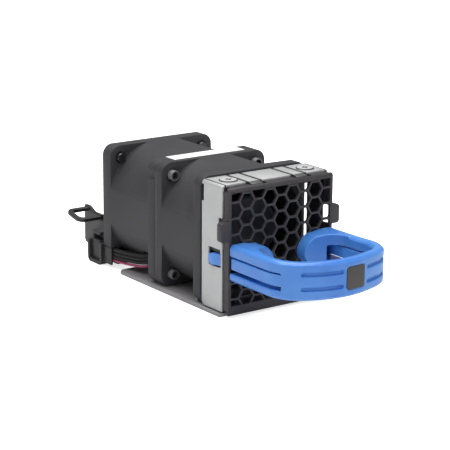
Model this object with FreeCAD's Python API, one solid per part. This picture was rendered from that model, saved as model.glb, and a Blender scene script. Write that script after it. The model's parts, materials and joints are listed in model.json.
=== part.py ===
import FreeCAD, Part
import math
import os

# Hot-swap fan module: two 40 mm axial fans, one behind the other and turning
# opposite ways, on a sheet tray behind a honeycomb bezel. A flexible loop
# handle carries two latch tongues, and a blind-mate connector sits behind the
# rear fan. Millimetres, +Z up, +Y from the handle to the connector. While it
# is built, Y = 0 is the bezel's front face and Z = 0 the tray's underside.

Vec = FreeCAD.Vector

# ---- driving dimensions ---------------------------------------------------

# How far a cutting shape runs past the face it opens
OVERCUT = 1.0

# Fan frames
FAN_SIZE = 40.0
FRONT_FAN_LENGTH = 25.2
REAR_FAN_LENGTH = 30.8
FAN_CORNER_RADIUS = 3.5
FAN_HOLE_MARGIN = 4.0
FAN_HOLE_RADIUS = 1.75
FAN_WALL = 1.0
BARREL_HOLE_GAP = 0.1
FLANGE_THICKNESS = 4.0
END_FLANGE_THICKNESS = 4.8
RECESS_RISE = 14.2
RECESS_HEIGHT = 2.6
RECESS_DEPTH = 0.8

# Motor and impeller, measured from the end of the fan that carries the vanes
BASE_GAP = 0.6
BASE_THICKNESS = 1.2
BASE_RADIUS = 10.8
VANE_COUNT = 8
VANE_CHORD = 4.6
VANE_THICKNESS = 0.9
VANE_TILT = 24.0
VANE_SEAT = 0.5
TUBE_RADIUS = 4.4
TUBE_BORE_RADIUS = 3.5
TUBE_LENGTH = 13.0
SHAFT_RADIUS = 1.5
BEARING_WIDTH = 2.5
BEARING_CLEARANCE = 0.05
TUBE_CLEARANCE = 0.15
CLIP_RADIUS = 2.4
CLIP_THICKNESS = 0.4
CLIP_CLEARANCE = 0.02
CLIP_SETBACK = 0.3
CLIP_GAP = 0.1
SPRING_LENGTH = 0.8
SPRING_WALL = 0.7
BOARD_THICKNESS = 0.8
HUB_RADIUS = 11.0
HUB_WALL = 0.9
HUB_CAP = 1.4
HUB_START_GAP = 0.6
COIL_GAP = 1.4
HUB_CLEARANCE = 0.4
HUB_BOSS_RADIUS = 3.0
HUB_BOSS_GAP = 0.5
FRONT_HUB_END = 22.6
REAR_HUB_END = 28.4
YOKE_WALL = 0.65
YOKE_SETBACK = 0.3
YOKE_OVERHANG = 0.8
MAGNET_WALL = 0.95
MAGNET_OVERHANG = 0.6
SHAFT_END_GAP = 0.1
AIR_GAP = 0.4
RING_SIDES = 24
POLE_COUNT = 4
POLE_NECK = 2.4
CORE_HEIGHT = 5.0
CORE_RIM = 1.1
COIL_WALL = 1.2
COIL_MARGIN = 0.1
BLADE_TIP_GAP = 0.45
FRONT_BLADES = 5
REAR_BLADES = 7
BLADE_SETBACK = 0.3
BLADE_ROOT_THICKNESS = 1.1
BLADE_TIP_THICKNESS = 0.7
BLADE_ROOT_ANGLE = 34.0
BLADE_TIP_ANGLE = 56.0
BLADE_CAMBER = 0.09
BLADE_EDGE_TAPER = 0.7
BLADE_STEPS = 4
BLADE_STATIONS = 3
FRONT_BLADE_DEPTH = 14.0
REAR_BLADE_DEPTH = 17.0

# Tray
TRAY_THICKNESS = 1.0
TRAY_LIP = 0.8
TRAY_REAR_Y = 60.0
TRAY_TAB_WIDTH = 4.6
TRAY_TAB_HEIGHT = 7.4
TRAY_CORNER = 1.5
TRAY_TAB_CLEARANCE = 0.2

# Bezel and its honeycomb
BEZEL_INSET = 0.4
BEZEL_BOTTOM_Z = 0.8
BEZEL_TOP_DROP = 0.6
BEZEL_RIM_DEPTH = 3.0
BEZEL_WALL = 1.0
BEZEL_TOP_ROUND = 1.0
GRILLE_THICKNESS = 1.8
WINDOW_MARGIN_SIDE = 1.0
WINDOW_MARGIN_TOP = 1.5
WINDOW_MARGIN_BOTTOM = 2.9
CELL_PITCH = 4.95
CELL_RIB = 0.8
CELL_RISE = 2.15
SKIRT_DEPTH = 7.0
SKIRT_LAP = 0.4
EAR_REACH = 2.8
EAR_OVERLAP = 1.0
EAR_THICKNESS = 2.2
EAR_RISE = 2.8
EAR_HEIGHT = 6.0
EAR_ROUND = 1.0
CORNER_NOTCH = 1.1

# Sheet-steel shell
SHELL_TOP_DROP = 0.5
SHELL_BOTTOM_Z = 1.5
SHELL_SHEET = 0.7
SHELL_DEPTH = 10.4
SHELL_BEND = 1.3
SHELL_STEP = 1.0
SHELL_STEP_RISE = 13.0
SHELL_CHAMFER = 1.0
EAR_NOTCH_MARGIN = 0.6
EAR_NOTCH_DEPTH = 1.8
FAN_GAP = 0.8
SLOT_WIDTH = 0.8
FINGER_INNER_X = 6.4
FINGER_WIDTH = 4.0
FINGER_ROOT = 0.9
FINGER_REACH = 1.8
FINGER_DROP = 0.5
FINGER_CLEARANCE = 0.3
TOP_SCREW_INSET = 5.5
TOP_SCREW_SETBACK = 4.6
TOP_SCREW_RADIUS = 1.2
TOP_SCREW_HEAD_RADIUS = 2.9
TOP_SCREW_HEAD = 0.35
TOP_SCREW_TAPER = 0.3
TOP_SLOT_LENGTH = 2.4
TOP_SLOT_WIDTH = 0.4
TOP_SCREW_LENGTH = 3.4
TOP_BOSS_RADIUS = 2.4

# Loop handle with its latch tongues
HANDLE_INSET = 0.2
HANDLE_REACH = 32.1
HANDLE_FRONT_RADIUS = 26.0
HANDLE_CORNER_RADIUS = 13.3
HANDLE_WALL = 3.4
HANDLE_HEIGHT = 11.4
HANDLE_DROP = 3.7
HANDLE_EDGE_BEVEL = 0.9
HANDLE_GROOVE_HEIGHT = 1.1
HANDLE_GROOVE_DEPTH = 0.9
HANDLE_GROOVE_OFFSET = 2.2
HANDLE_GROOVE_START = 4.6
HANDLE_GROOVE_LENGTH = 12.0
BADGE_X = 2.4
BADGE_WIDTH = 7.0
BADGE_HEIGHT = 6.8
BADGE_THICKNESS = 0.8
BADGE_ROUND = 0.9
BADGE_PROUD = 0.05
FOOT_WIDTH = 10.2
FOOT_DEPTH = 6.0
FOOT_BLEND = 6.0
FOOT_ROUND = 6.3
TONGUE_ROOT_Y = -24.0
TONGUE_HEIGHT = 3.5
TONGUE_ROOT_GAP = 0.3
TONGUE_UPPER_SLOT = 0.45
TONGUE_LOWER_SLOT = 1.3
TONGUE_SIDE_SPACE = 3.2
TONGUE_TRAVEL = 2.0
TONGUE_COVER = 0.7
TONGUE_CLEARANCE = 0.3
TONGUE_STEP = 0.8
TONGUE_END_STEP = 0.8
HOOK_START = 0.9
HOOK_LENGTH = 5.2
HOOK_PROUD = 0.8
HOOK_RAMP = 0.55
HOOK_LIP = 0.2
HOOK_CLEARANCE = 0.3

# Pins and rivets in the corner holes
PIN_RADIUS = 1.65
PIN_PROUD = 2.0
PIN_SETBACK = 0.4
TRAY_PIN_PROUD = 0.6
RIVET_HEAD_RADIUS = 2.1
RIVET_HEAD = 0.9
TRAY_RIVET_X = 11.0
TRAY_RIVET_SETBACK = 3.6
TRAY_RIVET_RADIUS = 1.1
TRAY_RIVET_HEAD_RADIUS = 1.9
TRAY_RIVET_UPSET = 0.6
HANDLE_SCREW_INSET = 4.4
HANDLE_SCREW_RADIUS = 1.1
HANDLE_SCREW_HEAD_RADIUS = 2.0
HANDLE_SCREW_HEAD = 1.2
HANDLE_SCREW_LENGTH = 4.4
HANDLE_BOSS_RADIUS = 2.7
SCREW_CLEARANCE = 0.05
SCREW_END_GAP = 0.3

# Label across the joint of the fans
LABEL_LENGTH = 27.0
LABEL_WIDTH = 5.2
LABEL_THICKNESS = 0.12
LABEL_SHIFT = 0.8

# Connector behind the rear fan
CRADLE_OVERHANG = 1.0
CRADLE_WIDTH = 8.4
CRADLE_WALL = 1.2
CRADLE_LENGTH = 8.6
CRADLE_HEIGHT = 7.6
CRADLE_ROUND = 1.6
ARM_THICKNESS = 0.7
NOTCH_DEPTH = 1.9
NOTCH_TOP_Z = 7.1
NOTCH_CLEARANCE = 0.1
FIN_REACH = 22.4
FIN_LOW_Z = 2.2
FIN_CORNER = 1.5
FIN_TOP_Z = 15.4
FIN_STEP_Z = 13.9
FIN_SHOULDER_Z = 12.0
FIN_STEP_START = 6.2
FIN_PEAK_LENGTH = 2.6
FIN_SHOULDER_START = 10.8
RING_REACH = 8.4
RING_SETBACK = 1.4
RING_BAR = 1.6
RING_CORNER = 2.6
RING_THICKNESS = 1.2
RING_RISE = 11.0
RING_DROP = 0.6
HOUSING_GAP = 0.1
HOUSING_INSET = 1.0
HOUSING_TOP_Z = 10.8
PLUG_WIDTH = 8.6
SLOT_LOW_Z = 8.0
SLOT_HEIGHT = 1.7
SLOT_DEPTH = 2.4
PLUG_LOW_Z = 2.4
PLUG_TOP_Z = 10.0
PLUG_REACH = 19.0
PLUG_WALL = 1.0
PLUG_CAVITY = 8.0
PLUG_ROUND = 0.8
CONTACT_ROWS = 2
CONTACT_COLUMNS = 3
CONTACT_PITCH = 2.4
CONTACT_SIZE = 0.64
CONTACT_SEAT = 2.0
CONTACT_LENGTH = 6.0

# Motor leads: both pairs leave through one port and run side by side
LEAD_RADIUS = 0.4
LEAD_SIDES = 6
LEAD_SPACING = 1.2
LEADS_PER_FAN = 2
LEAD_BEND_SHARE = 0.45
LEAD_STATION = 2.3
LEAD_START_GAP = 0.3
LEAD_SIDE_GAP = 0.15
LEAD_RISE = 0.3
LEAD_WINDOW_GAP = 0.15
# Corners of the leads' route, as shares of the way across, along and down
REAR_LEAD_INSIDE = ((0.424, 0.151, 0.424),)
FRONT_LEAD_INSIDE = ((0.324, 0.07, 0.324), (0.51, 0.525, 0.51))
LEAD_OUTSIDE = ((0.52, 0.19, 0.64), (0.79, 0.46, 0.85), (0.98, 0.68, 0.92),
                (1.0, 0.9, 1.0))
LEAD_PORT_REACH = 3.2
PORT_START = 4.4
PORT_LENGTH = 7.6
PORT_INSET = 3.0
PORT_WIDTH = 5.4

# ---- derived places -------------------------------------------------------

AXIS_Z = TRAY_THICKNESS + FAN_SIZE / 2
HOLE_OFFSET = FAN_SIZE / 2 - FAN_HOLE_MARGIN
LOW_HOLE_Z = AXIS_Z - HOLE_OFFSET
FAN_BORE_RADIUS = FAN_SIZE / 2 - FAN_WALL
BARREL_RADIUS = HOLE_OFFSET * math.sqrt(2) - FAN_HOLE_RADIUS - BARREL_HOLE_GAP
TRAY_HALF_WIDTH = FAN_SIZE / 2 + TRAY_LIP
SHELL_FRONT_Y = BEZEL_RIM_DEPTH
SHELL_REAR_Y = SHELL_FRONT_Y + SHELL_DEPTH
FAN_FRONT_Y = SHELL_REAR_Y + FAN_GAP
JOINT_Y = FAN_FRONT_Y + FRONT_FAN_LENGTH
FAN_REAR_Y = JOINT_Y + REAR_FAN_LENGTH
SHELL_HALF_WIDTH = FAN_SIZE / 2
SHELL_TOP_Z = TRAY_THICKNESS + FAN_SIZE - SHELL_TOP_DROP
SHELL_INNER_X = SHELL_HALF_WIDTH - SHELL_SHEET
SHELL_INNER_Z = SHELL_TOP_Z - SHELL_SHEET
TOP_SCREW_X = SHELL_HALF_WIDTH - TOP_SCREW_INSET
BEZEL_HALF_WIDTH = SHELL_HALF_WIDTH - BEZEL_INSET
BEZEL_TOP_Z = SHELL_TOP_Z - BEZEL_TOP_DROP
EAR_BOTTOM_Z = AXIS_Z + EAR_RISE
EAR_TOP_Z = EAR_BOTTOM_Z + EAR_HEIGHT
HANDLE_HALF_WIDTH = BEZEL_HALF_WIDTH - HANDLE_INSET
HANDLE_INNER_X = HANDLE_HALF_WIDTH - HANDLE_WALL
HANDLE_Z = AXIS_Z - HANDLE_DROP
FOOT_INNER_X = HANDLE_INNER_X - FOOT_WIDTH
HANDLE_SCREW_X = FOOT_INNER_X + HANDLE_SCREW_INSET
TONGUE_LOW_Z = HANDLE_Z - TONGUE_HEIGHT / 2
TONGUE_HIGH_Z = HANDLE_Z + TONGUE_HEIGHT / 2
EAR_HALF_WIDTH = BEZEL_HALF_WIDTH + EAR_REACH
CRADLE_LEFT_X = -FAN_SIZE / 2 - CRADLE_OVERHANG
CRADLE_RIGHT_X = CRADLE_LEFT_X + CRADLE_WIDTH
CRADLE_REAR_Y = FAN_REAR_Y + CRADLE_LENGTH
FIN_LEFT_X = CRADLE_RIGHT_X - CRADLE_WALL
FIN_REAR_Y = FAN_REAR_Y + FIN_REACH
HOUSING_FRONT_Y = FAN_REAR_Y + CRADLE_WALL + RIVET_HEAD + HOUSING_GAP
HOUSING_REAR_Y = CRADLE_REAR_Y - CRADLE_WALL - HOUSING_GAP
HOUSING_LEFT_X = CRADLE_LEFT_X + HOUSING_INSET
HOUSING_RIGHT_X = CRADLE_RIGHT_X + PLUG_WIDTH
PORT_OUTER = FAN_SIZE / 2 - PORT_INSET
PORT_INNER = PORT_OUTER - PORT_WIDTH
LEAD_X = FAN_SIZE / 2 - ARM_THICKNESS - LEAD_RADIUS - LEAD_SIDE_GAP
LEAD_Z = (TRAY_THICKNESS + NOTCH_TOP_Z) / 2 + LEAD_RISE
MIDDLE_Y = (FIN_REAR_Y - HANDLE_REACH - BADGE_PROUD) / 2


# ---- small helpers --------------------------------------------------------

def block(x0, x1, y0, y1, z0, z1):
    """Box between two corners."""
    return Part.makeBox(x1 - x0, y1 - y0, z1 - z0, Vec(x0, y0, z0))


def rod(radius, y0, y1, x=0.0, z=AXIS_Z):
    """Cylinder along Y."""
    return Part.makeCylinder(radius, y1 - y0, Vec(x, y0, z), Vec(0, 1, 0))


def upright_rod(radius, x, y, z0, z1):
    """Cylinder along Z."""
    return Part.makeCylinder(radius, z1 - z0, Vec(x, y, z0))


def tube(outer, inner, y0, y1, x=0.0, z=AXIS_Z):
    """Hollow cylinder along Y."""
    return rod(outer, y0, y1, x, z).cut(rod(inner, y0, y1, x, z))


def joined(shapes):
    """One solid from several that touch or overlap."""
    body = shapes[0].multiFuse(shapes[1:])
    return body.removeSplitter()


def mirrored(shape):
    """The same shape on the other side of the middle plane."""
    return shape.mirror(Vec(0, 0, 0), Vec(1, 0, 0))


def both_sides(shape):
    """A shape and its mirror image."""
    return [shape, mirrored(shape)]


def prism(points, direction):
    """Straight prism from a closed outline of points."""
    corners = [Vec(*point) for point in points]
    outline = Part.makePolygon(corners + corners[:1])
    return Part.Face(outline).extrude(Vec(*direction))


def rounded_block(x0, x1, y0, y1, z0, z1, radius, axis):
    """Box whose four edges along one axis ('x', 'y' or 'z') are rounded."""
    shape = block(x0, x1, y0, y1, z0, z1)
    pick = "xyz".index(axis)
    edges = []
    for edge in shape.Edges:
        ends = edge.Vertexes
        along = (ends[1].Point - ends[0].Point).normalize()
        if abs(along[pick]) > 0.99:
            edges.append(edge)
    return shape.makeFillet(radius, edges)


def save(name, shapes):
    """Move the finished pieces to the model's origin and write one STEP."""
    pieces = shapes if isinstance(shapes, list) else [shapes]
    moved = []
    for piece in pieces:
        copy = piece.copy()
        copy.translate(Vec(0, -MIDDLE_Y, 0))
        moved.append(copy)
    result = moved[0] if len(moved) == 1 else Part.makeCompound(moved)
    result.exportStep("parts/" + name + ".step")


# ---- fans -----------------------------------------------------------------

class Fan:
    """One fan; stations run along the axis from the end with the vanes."""

    def __init__(self, name, facing, length, open_flange, hub_end, blades, depth):
        self.name = name
        self.facing = facing
        self.length = length
        self.open_flange = open_flange
        self.hub_end = hub_end
        self.blades = blades
        self.depth = depth

    def span(self, start, end):
        """Low and high Y of a stretch between two stations."""
        ends = (JOINT_Y + self.facing * start, JOINT_Y + self.facing * end)
        return min(ends), max(ends)

    def rod(self, radius, start, end):
        """Cylinder on the fan's axis."""
        low, high = self.span(start, end)
        return rod(radius, low, high)

    def tube(self, outer, inner, start, end):
        """Hollow cylinder on the fan's axis."""
        low, high = self.span(start, end)
        return tube(outer, inner, low, high)

    def ring(self, outer, inner, start, end):
        """Ring with flat sides on the fan's axis, for parts sealed in the hub."""
        low, high = self.span(start, end)
        walls = []
        for radius in (outer, inner):
            corners = []
            for n in range(RING_SIDES):
                angle = 2 * math.pi * n / RING_SIDES
                corners.append((radius * math.sin(angle), low,
                                AXIS_Z + radius * math.cos(angle)))
            walls.append(prism(corners, (0, high - low, 0)))
        return walls[0].cut(walls[1])


BASE_END = BASE_GAP + BASE_THICKNESS
BOARD_END = BASE_END + BOARD_THICKNESS
HUB_START = BOARD_END + HUB_START_GAP
CORE_START = HUB_START + COIL_WALL + COIL_GAP
CORE_END = CORE_START + CORE_HEIGHT
MAGNET_OUTER = HUB_RADIUS - HUB_WALL - YOKE_WALL
MAGNET_INNER = MAGNET_OUTER - MAGNET_WALL
CORE_RADIUS = MAGNET_INNER - AIR_GAP
CLIP_START = BASE_END + CLIP_SETBACK
BEARING_START = CLIP_START + CLIP_THICKNESS + CLIP_GAP


def flange(fan, start, end):
    """Square end plate with rounded corners and four corner holes."""
    low, high = fan.span(start, end)
    half = FAN_SIZE / 2
    plate = rounded_block(-half, half, low, high, AXIS_Z - half, AXIS_Z + half,
                          FAN_CORNER_RADIUS, "y")
    for x in (-HOLE_OFFSET, HOLE_OFFSET):
        for z in (AXIS_Z - HOLE_OFFSET, AXIS_Z + HOLE_OFFSET):
            plate = plate.cut(rod(FAN_HOLE_RADIUS, low, high, x, z))
    return plate


def vane(fan, angle):
    """Tilted guide vane from the motor base to the barrel."""
    reach = (FAN_BORE_RADIUS + BARREL_RADIUS) / 2
    centre = BASE_GAP + VANE_CHORD / 2
    y = JOINT_Y + fan.facing * centre
    start = BASE_RADIUS - VANE_SEAT
    blade = block(-VANE_THICKNESS / 2, VANE_THICKNESS / 2, y - VANE_CHORD / 2,
                  y + VANE_CHORD / 2, start, reach)
    blade.rotate(Vec(0, y, 0), Vec(0, 0, 1), VANE_TILT)
    blade.translate(Vec(0, 0, AXIS_Z))
    blade.rotate(Vec(0, 0, AXIS_Z), Vec(0, 1, 0), angle)
    return blade.cut(fan.rod(HUB_RADIUS + HUB_CLEARANCE, HUB_START - HUB_CLEARANCE,
                             fan.length))


def fan_frame(fan):
    """Moulded frame: two flanges, barrel, vanes, motor base, bearing tube."""
    low, high = fan.span(0, fan.length)
    half = FAN_SIZE / 2
    square = block(-half, half, low, high, AXIS_Z - half, AXIS_Z + half)
    barrel = rod(BARREL_RADIUS, low, high).common(square)
    body = joined([flange(fan, 0, FLANGE_THICKNESS), barrel,
                   flange(fan, fan.length - fan.open_flange, fan.length)])
    body = body.cut(rod(FAN_BORE_RADIUS, low, high))
    vanes = [vane(fan, 360.0 * (n + 0.5) / VANE_COUNT) for n in range(VANE_COUNT)]
    base = fan.rod(BASE_RADIUS, BASE_GAP, BASE_END)
    bearing_tube = fan.rod(TUBE_RADIUS, BASE_END, TUBE_LENGTH)
    body = joined([body, base, bearing_tube] + vanes)
    body = body.cut(fan.rod(TUBE_BORE_RADIUS, BASE_END, TUBE_LENGTH))
    if fan.facing > 0:
        body = body.cut(lead_port(fan)).cut(lead_notch(fan))
        body = body.cut(Part.makeCompound(both_sides(snap_recess(fan))))
    return body


def snap_recess(fan):
    """Shallow pocket in the right side of the flange at the fans' joint."""
    low, high = fan.span(0, FLANGE_THICKNESS)
    half = FAN_SIZE / 2
    bottom = AXIS_Z + RECESS_RISE
    return block(half - RECESS_DEPTH, half + OVERCUT, low, high, bottom,
                 bottom + RECESS_HEIGHT)


def lead_port(fan):
    """Window in the barrel's low left corner, through which all leads leave."""
    low, high = fan.span(PORT_START, PORT_START + PORT_LENGTH)
    return block(-PORT_OUTER, -PORT_INNER, low, high, AXIS_Z - PORT_OUTER,
                 AXIS_Z - PORT_INNER)


def lead_notch(fan):
    """Notch in the rear flange's low left edge for the leads and the arm."""
    low, high = fan.span(fan.length - fan.open_flange, fan.length)
    half = FAN_SIZE / 2
    return block(-half - OVERCUT, -half + NOTCH_DEPTH, low, high, 0, NOTCH_TOP_Z)


def circuit_board(fan):
    """Ring board that lies on the motor base."""
    outer = HUB_RADIUS - HUB_WALL
    return fan.ring(outer, TUBE_RADIUS + TUBE_CLEARANCE, BASE_END, BOARD_END)


def stator_core(fan):
    """Laminated core with four poles."""
    inner = TUBE_RADIUS + TUBE_CLEARANCE
    core = fan.ring(inner + CORE_RIM, inner, CORE_START, CORE_END)
    shoes = fan.ring(CORE_RADIUS, CORE_RADIUS - CORE_RIM, CORE_START, CORE_END)
    low, high = fan.span(CORE_START, CORE_END)
    pieces = [core]
    for n in range(POLE_COUNT):
        neck = block(-POLE_NECK / 2, POLE_NECK / 2, low, high,
                     inner + CORE_RIM / 2, CORE_RADIUS - CORE_RIM / 2)
        neck.translate(Vec(0, 0, AXIS_Z))
        neck.rotate(Vec(0, 0, AXIS_Z), Vec(0, 1, 0), 360.0 * n / POLE_COUNT)
        pieces.append(neck)
        gap = block(-POLE_NECK / 4, POLE_NECK / 4, low, high, 0, HUB_RADIUS)
        gap.translate(Vec(0, 0, AXIS_Z))
        gap.rotate(Vec(0, 0, AXIS_Z), Vec(0, 1, 0), 360.0 * (n + 0.5) / POLE_COUNT)
        shoes = shoes.cut(gap)
    return joined(pieces + [shoes])


def windings(fan, core):
    """Copper coils, one round each pole's neck."""
    inner = TUBE_RADIUS + TUBE_CLEARANCE + CORE_RIM
    outer = CORE_RADIUS - CORE_RIM
    room = fan.ring(outer - COIL_MARGIN, inner + COIL_MARGIN, CORE_START - COIL_WALL,
                    CORE_END + COIL_WALL)
    low, high = fan.span(CORE_START - COIL_WALL, CORE_END + COIL_WALL)
    coils = []
    for n in range(POLE_COUNT):
        half = POLE_NECK / 2 + COIL_WALL
        coil = block(-half, half, low, high, inner, outer)
        coil.translate(Vec(0, 0, AXIS_Z))
        coil.rotate(Vec(0, 0, AXIS_Z), Vec(0, 1, 0), 360.0 * n / POLE_COUNT)
        coils.append(coil.common(room).cut(core))
    return coils


def bearings(fan):
    """Two ball bearings, drawn as closed rings."""
    outer = TUBE_BORE_RADIUS - BEARING_CLEARANCE
    inner = SHAFT_RADIUS + BEARING_CLEARANCE
    rings = []
    for start in (BEARING_START, TUBE_LENGTH - BEARING_WIDTH):
        rings.append(fan.ring(outer, inner, start, start + BEARING_WIDTH))
    return rings


def preload_spring(fan):
    """Wave spring between the spacer and the outer bearing, as a ring."""
    end = TUBE_LENGTH - BEARING_WIDTH
    outer = TUBE_BORE_RADIUS - BEARING_CLEARANCE
    return fan.ring(outer, outer - SPRING_WALL, end - SPRING_LENGTH, end)


def bearing_spacer(fan):
    """Sleeve that keeps the two bearings apart."""
    outer = TUBE_BORE_RADIUS - BEARING_CLEARANCE
    return fan.ring(outer, outer - SPRING_WALL, BEARING_START + BEARING_WIDTH,
                    TUBE_LENGTH - BEARING_WIDTH - SPRING_LENGTH)


def blade_outline(radius, angle, thickness, depth):
    """Corners of a cambered section on a plane at one radius from the axis."""
    lean = math.radians(angle)
    chord = depth / math.cos(lean)
    along = Vec(math.sin(lean), math.cos(lean), 0)
    across = Vec(math.cos(lean), -math.sin(lean), 0)
    faces = []
    for side in (1, -1):
        line = []
        for n in range(BLADE_STEPS + 1):
            place = n / BLADE_STEPS - 0.5
            bow = BLADE_CAMBER * chord * (1 - 4 * place * place)
            half = thickness / 2 * (1 - BLADE_EDGE_TAPER * 4 * place * place)
            line.append(Vec(0, 0, radius) + along * (place * chord)
                        + across * (bow + side * half))
        faces.append(line)
    return faces[0] + faces[1][::-1]


def flat_faced(rings):
    """Solid with flat faces through a row of outlines of as many corners."""
    faces = [Part.Face(Part.makePolygon(ring + ring[:1])) for ring in (rings[0], rings[-1])]
    for near, far in zip(rings, rings[1:]):
        for n in range(len(near)):
            after = (n + 1) % len(near)
            for corners in ([near[n], near[after], far[after]],
                            [near[n], far[after], far[n]]):
                faces.append(Part.Face(Part.makePolygon(corners + corners[:1])))
    solid = Part.Solid(Part.Shell(faces))
    if solid.Volume < 0:
        solid.reverse()
    return solid


def blade(fan, room):
    """First blade of the impeller, twisted from its root to its tip."""
    root = HUB_RADIUS - HUB_WALL - OVERCUT
    tip = FAN_BORE_RADIUS + OVERCUT
    rings = []
    for n in range(BLADE_STATIONS):
        share = n / (BLADE_STATIONS - 1)
        angle = BLADE_ROOT_ANGLE + (BLADE_TIP_ANGLE - BLADE_ROOT_ANGLE) * share
        thickness = BLADE_ROOT_THICKNESS + (BLADE_TIP_THICKNESS - BLADE_ROOT_THICKNESS) * share
        radius = root + (tip - root) * share
        rings.append(blade_outline(radius, angle, thickness, fan.depth))
    body = flat_faced(rings)
    if fan.facing < 0:
        body = body.mirror(Vec(0, 0, 0), Vec(0, 1, 0))
    middle = JOINT_Y + fan.facing * (fan.hub_end - BLADE_SETBACK - fan.depth / 2)
    body.translate(Vec(0, middle, AXIS_Z))
    return body.common(room)


def impeller(fan):
    """Hub cup with twisted blades."""
    hub = fan.rod(HUB_RADIUS, HUB_START, fan.hub_end)
    hub = hub.cut(fan.rod(HUB_RADIUS - HUB_WALL, HUB_START, fan.hub_end - HUB_CAP))
    boss_start = TUBE_LENGTH + HUB_BOSS_GAP
    boss = fan.rod(HUB_BOSS_RADIUS, boss_start, fan.hub_end - HUB_CAP)
    hub = joined([hub, boss])
    hub = hub.cut(fan.rod(SHAFT_RADIUS, boss_start, fan.hub_end - HUB_CAP / 2))
    blade_end = fan.hub_end - BLADE_SETBACK
    room = fan.tube(FAN_BORE_RADIUS - BLADE_TIP_GAP, HUB_RADIUS - HUB_WALL / 2,
                    blade_end - fan.depth, blade_end)
    first = blade(fan, room)
    pieces = [hub]
    for n in range(fan.blades):
        copy = first.copy()
        copy.rotate(Vec(0, 0, AXIS_Z), Vec(0, 1, 0), 360.0 * n / fan.blades)
        pieces.append(copy)
    return joined(pieces)


def fan_pieces(fan):
    """Every piece of one fan, by node name."""
    core = stator_core(fan)
    yoke_end = CORE_END + COIL_WALL + YOKE_OVERHANG
    yoke_outer = HUB_RADIUS - HUB_WALL
    shaft_end = fan.hub_end - HUB_CAP / 2
    clip = fan.ring(CLIP_RADIUS, SHAFT_RADIUS + CLIP_CLEARANCE, CLIP_START,
                    CLIP_START + CLIP_THICKNESS)
    return {
        fan.name + "_fan_frame": fan_frame(fan),
        fan.name + "_circuit_board": circuit_board(fan),
        fan.name + "_stator_core": core,
        fan.name + "_windings": windings(fan, core),
        fan.name + "_bearings": bearings(fan),
        fan.name + "_preload_spring": preload_spring(fan),
        fan.name + "_bearing_spacer": bearing_spacer(fan),
        fan.name + "_impeller": impeller(fan),
        fan.name + "_rotor_yoke": fan.ring(yoke_outer, MAGNET_OUTER,
                                           HUB_START + YOKE_SETBACK, yoke_end),
        fan.name + "_rotor_magnet": fan.ring(MAGNET_OUTER, MAGNET_INNER,
                                             CORE_START - MAGNET_OVERHANG,
                                             CORE_END + MAGNET_OVERHANG),
        fan.name + "_shaft": fan.rod(SHAFT_RADIUS, BASE_END + SHAFT_END_GAP, shaft_end),
        fan.name + "_shaft_clip": clip,
    }


# ---- tray -----------------------------------------------------------------

def tray_tab(y, x):
    """Ear bent up from the tray behind a corner of a fan flange."""
    half = TRAY_TAB_WIDTH / 2
    tab = block(x - half, x + half, y, y + TRAY_THICKNESS, TRAY_THICKNESS / 2,
                TRAY_TAB_HEIGHT)
    tab = tab.cut(rod(BARREL_RADIUS + TRAY_TAB_CLEARANCE, y, y + TRAY_THICKNESS))
    return tab.cut(rod(FAN_HOLE_RADIUS, y, y + TRAY_THICKNESS, x, LOW_HOLE_Z))


def tray_plate():
    """Sheet tray under both fans with two bent-up ears."""
    plate = block(-TRAY_HALF_WIDTH, TRAY_HALF_WIDTH, SHELL_FRONT_Y, TRAY_REAR_Y,
                  0, TRAY_THICKNESS)
    corners = []
    for edge in plate.Edges:
        ends = edge.Vertexes
        upright = abs(ends[0].Z - ends[1].Z) > TRAY_THICKNESS / 2
        if upright and ends[0].Y > TRAY_REAR_Y - 0.1:
            corners.append(edge)
    plate = plate.makeChamfer(TRAY_CORNER, corners)
    tab_y = FAN_FRONT_Y + FLANGE_THICKNESS
    tabs = [tray_tab(tab_y, x) for x in (-HOLE_OFFSET, HOLE_OFFSET)]
    body = joined([plate] + tabs)
    for x in (-TRAY_RIVET_X, TRAY_RIVET_X):
        body = body.cut(tray_rivet_seat(x))
    return body


def tray_rivet_seat(x):
    """Countersunk shape of one tray rivet, through the sheet only."""
    y = SHELL_FRONT_Y + TRAY_RIVET_SETBACK
    return Part.makeCone(TRAY_RIVET_HEAD_RADIUS, TRAY_RIVET_RADIUS, TRAY_THICKNESS,
                         Vec(x, y, 0))


def tray_rivets():
    """Flush rivets that hold the bezel's skirt down on the tray."""
    y = SHELL_FRONT_Y + TRAY_RIVET_SETBACK
    top = TRAY_THICKNESS + BEZEL_WALL
    rivets = []
    for x in (-TRAY_RIVET_X, TRAY_RIVET_X):
        shank = upright_rod(TRAY_RIVET_RADIUS, x, y, TRAY_THICKNESS, top)
        upset = upright_rod(TRAY_RIVET_HEAD_RADIUS, x, y, top, top + TRAY_RIVET_UPSET)
        rivets.append(joined([tray_rivet_seat(x), shank, upset]))
    return rivets


def tray_pins():
    """Steel pins that hold the front flange to the tray's ears."""
    end = FAN_FRONT_Y + FLANGE_THICKNESS + TRAY_THICKNESS + TRAY_PIN_PROUD
    pins = []
    for x in (-HOLE_OFFSET, HOLE_OFFSET):
        pins.append(rod(PIN_RADIUS, FAN_FRONT_Y + PIN_SETBACK, end, x, LOW_HOLE_Z))
    return pins


def joint_pins():
    """Steel pins through the corner holes that join the two fans."""
    start = JOINT_Y - FLANGE_THICKNESS - PIN_PROUD
    end = JOINT_Y + FLANGE_THICKNESS
    pins = []
    for x in (-HOLE_OFFSET, HOLE_OFFSET):
        for z in (AXIS_Z - HOLE_OFFSET, AXIS_Z + HOLE_OFFSET):
            pins.append(rod(PIN_RADIUS, start, end, x, z))
    return pins


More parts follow.
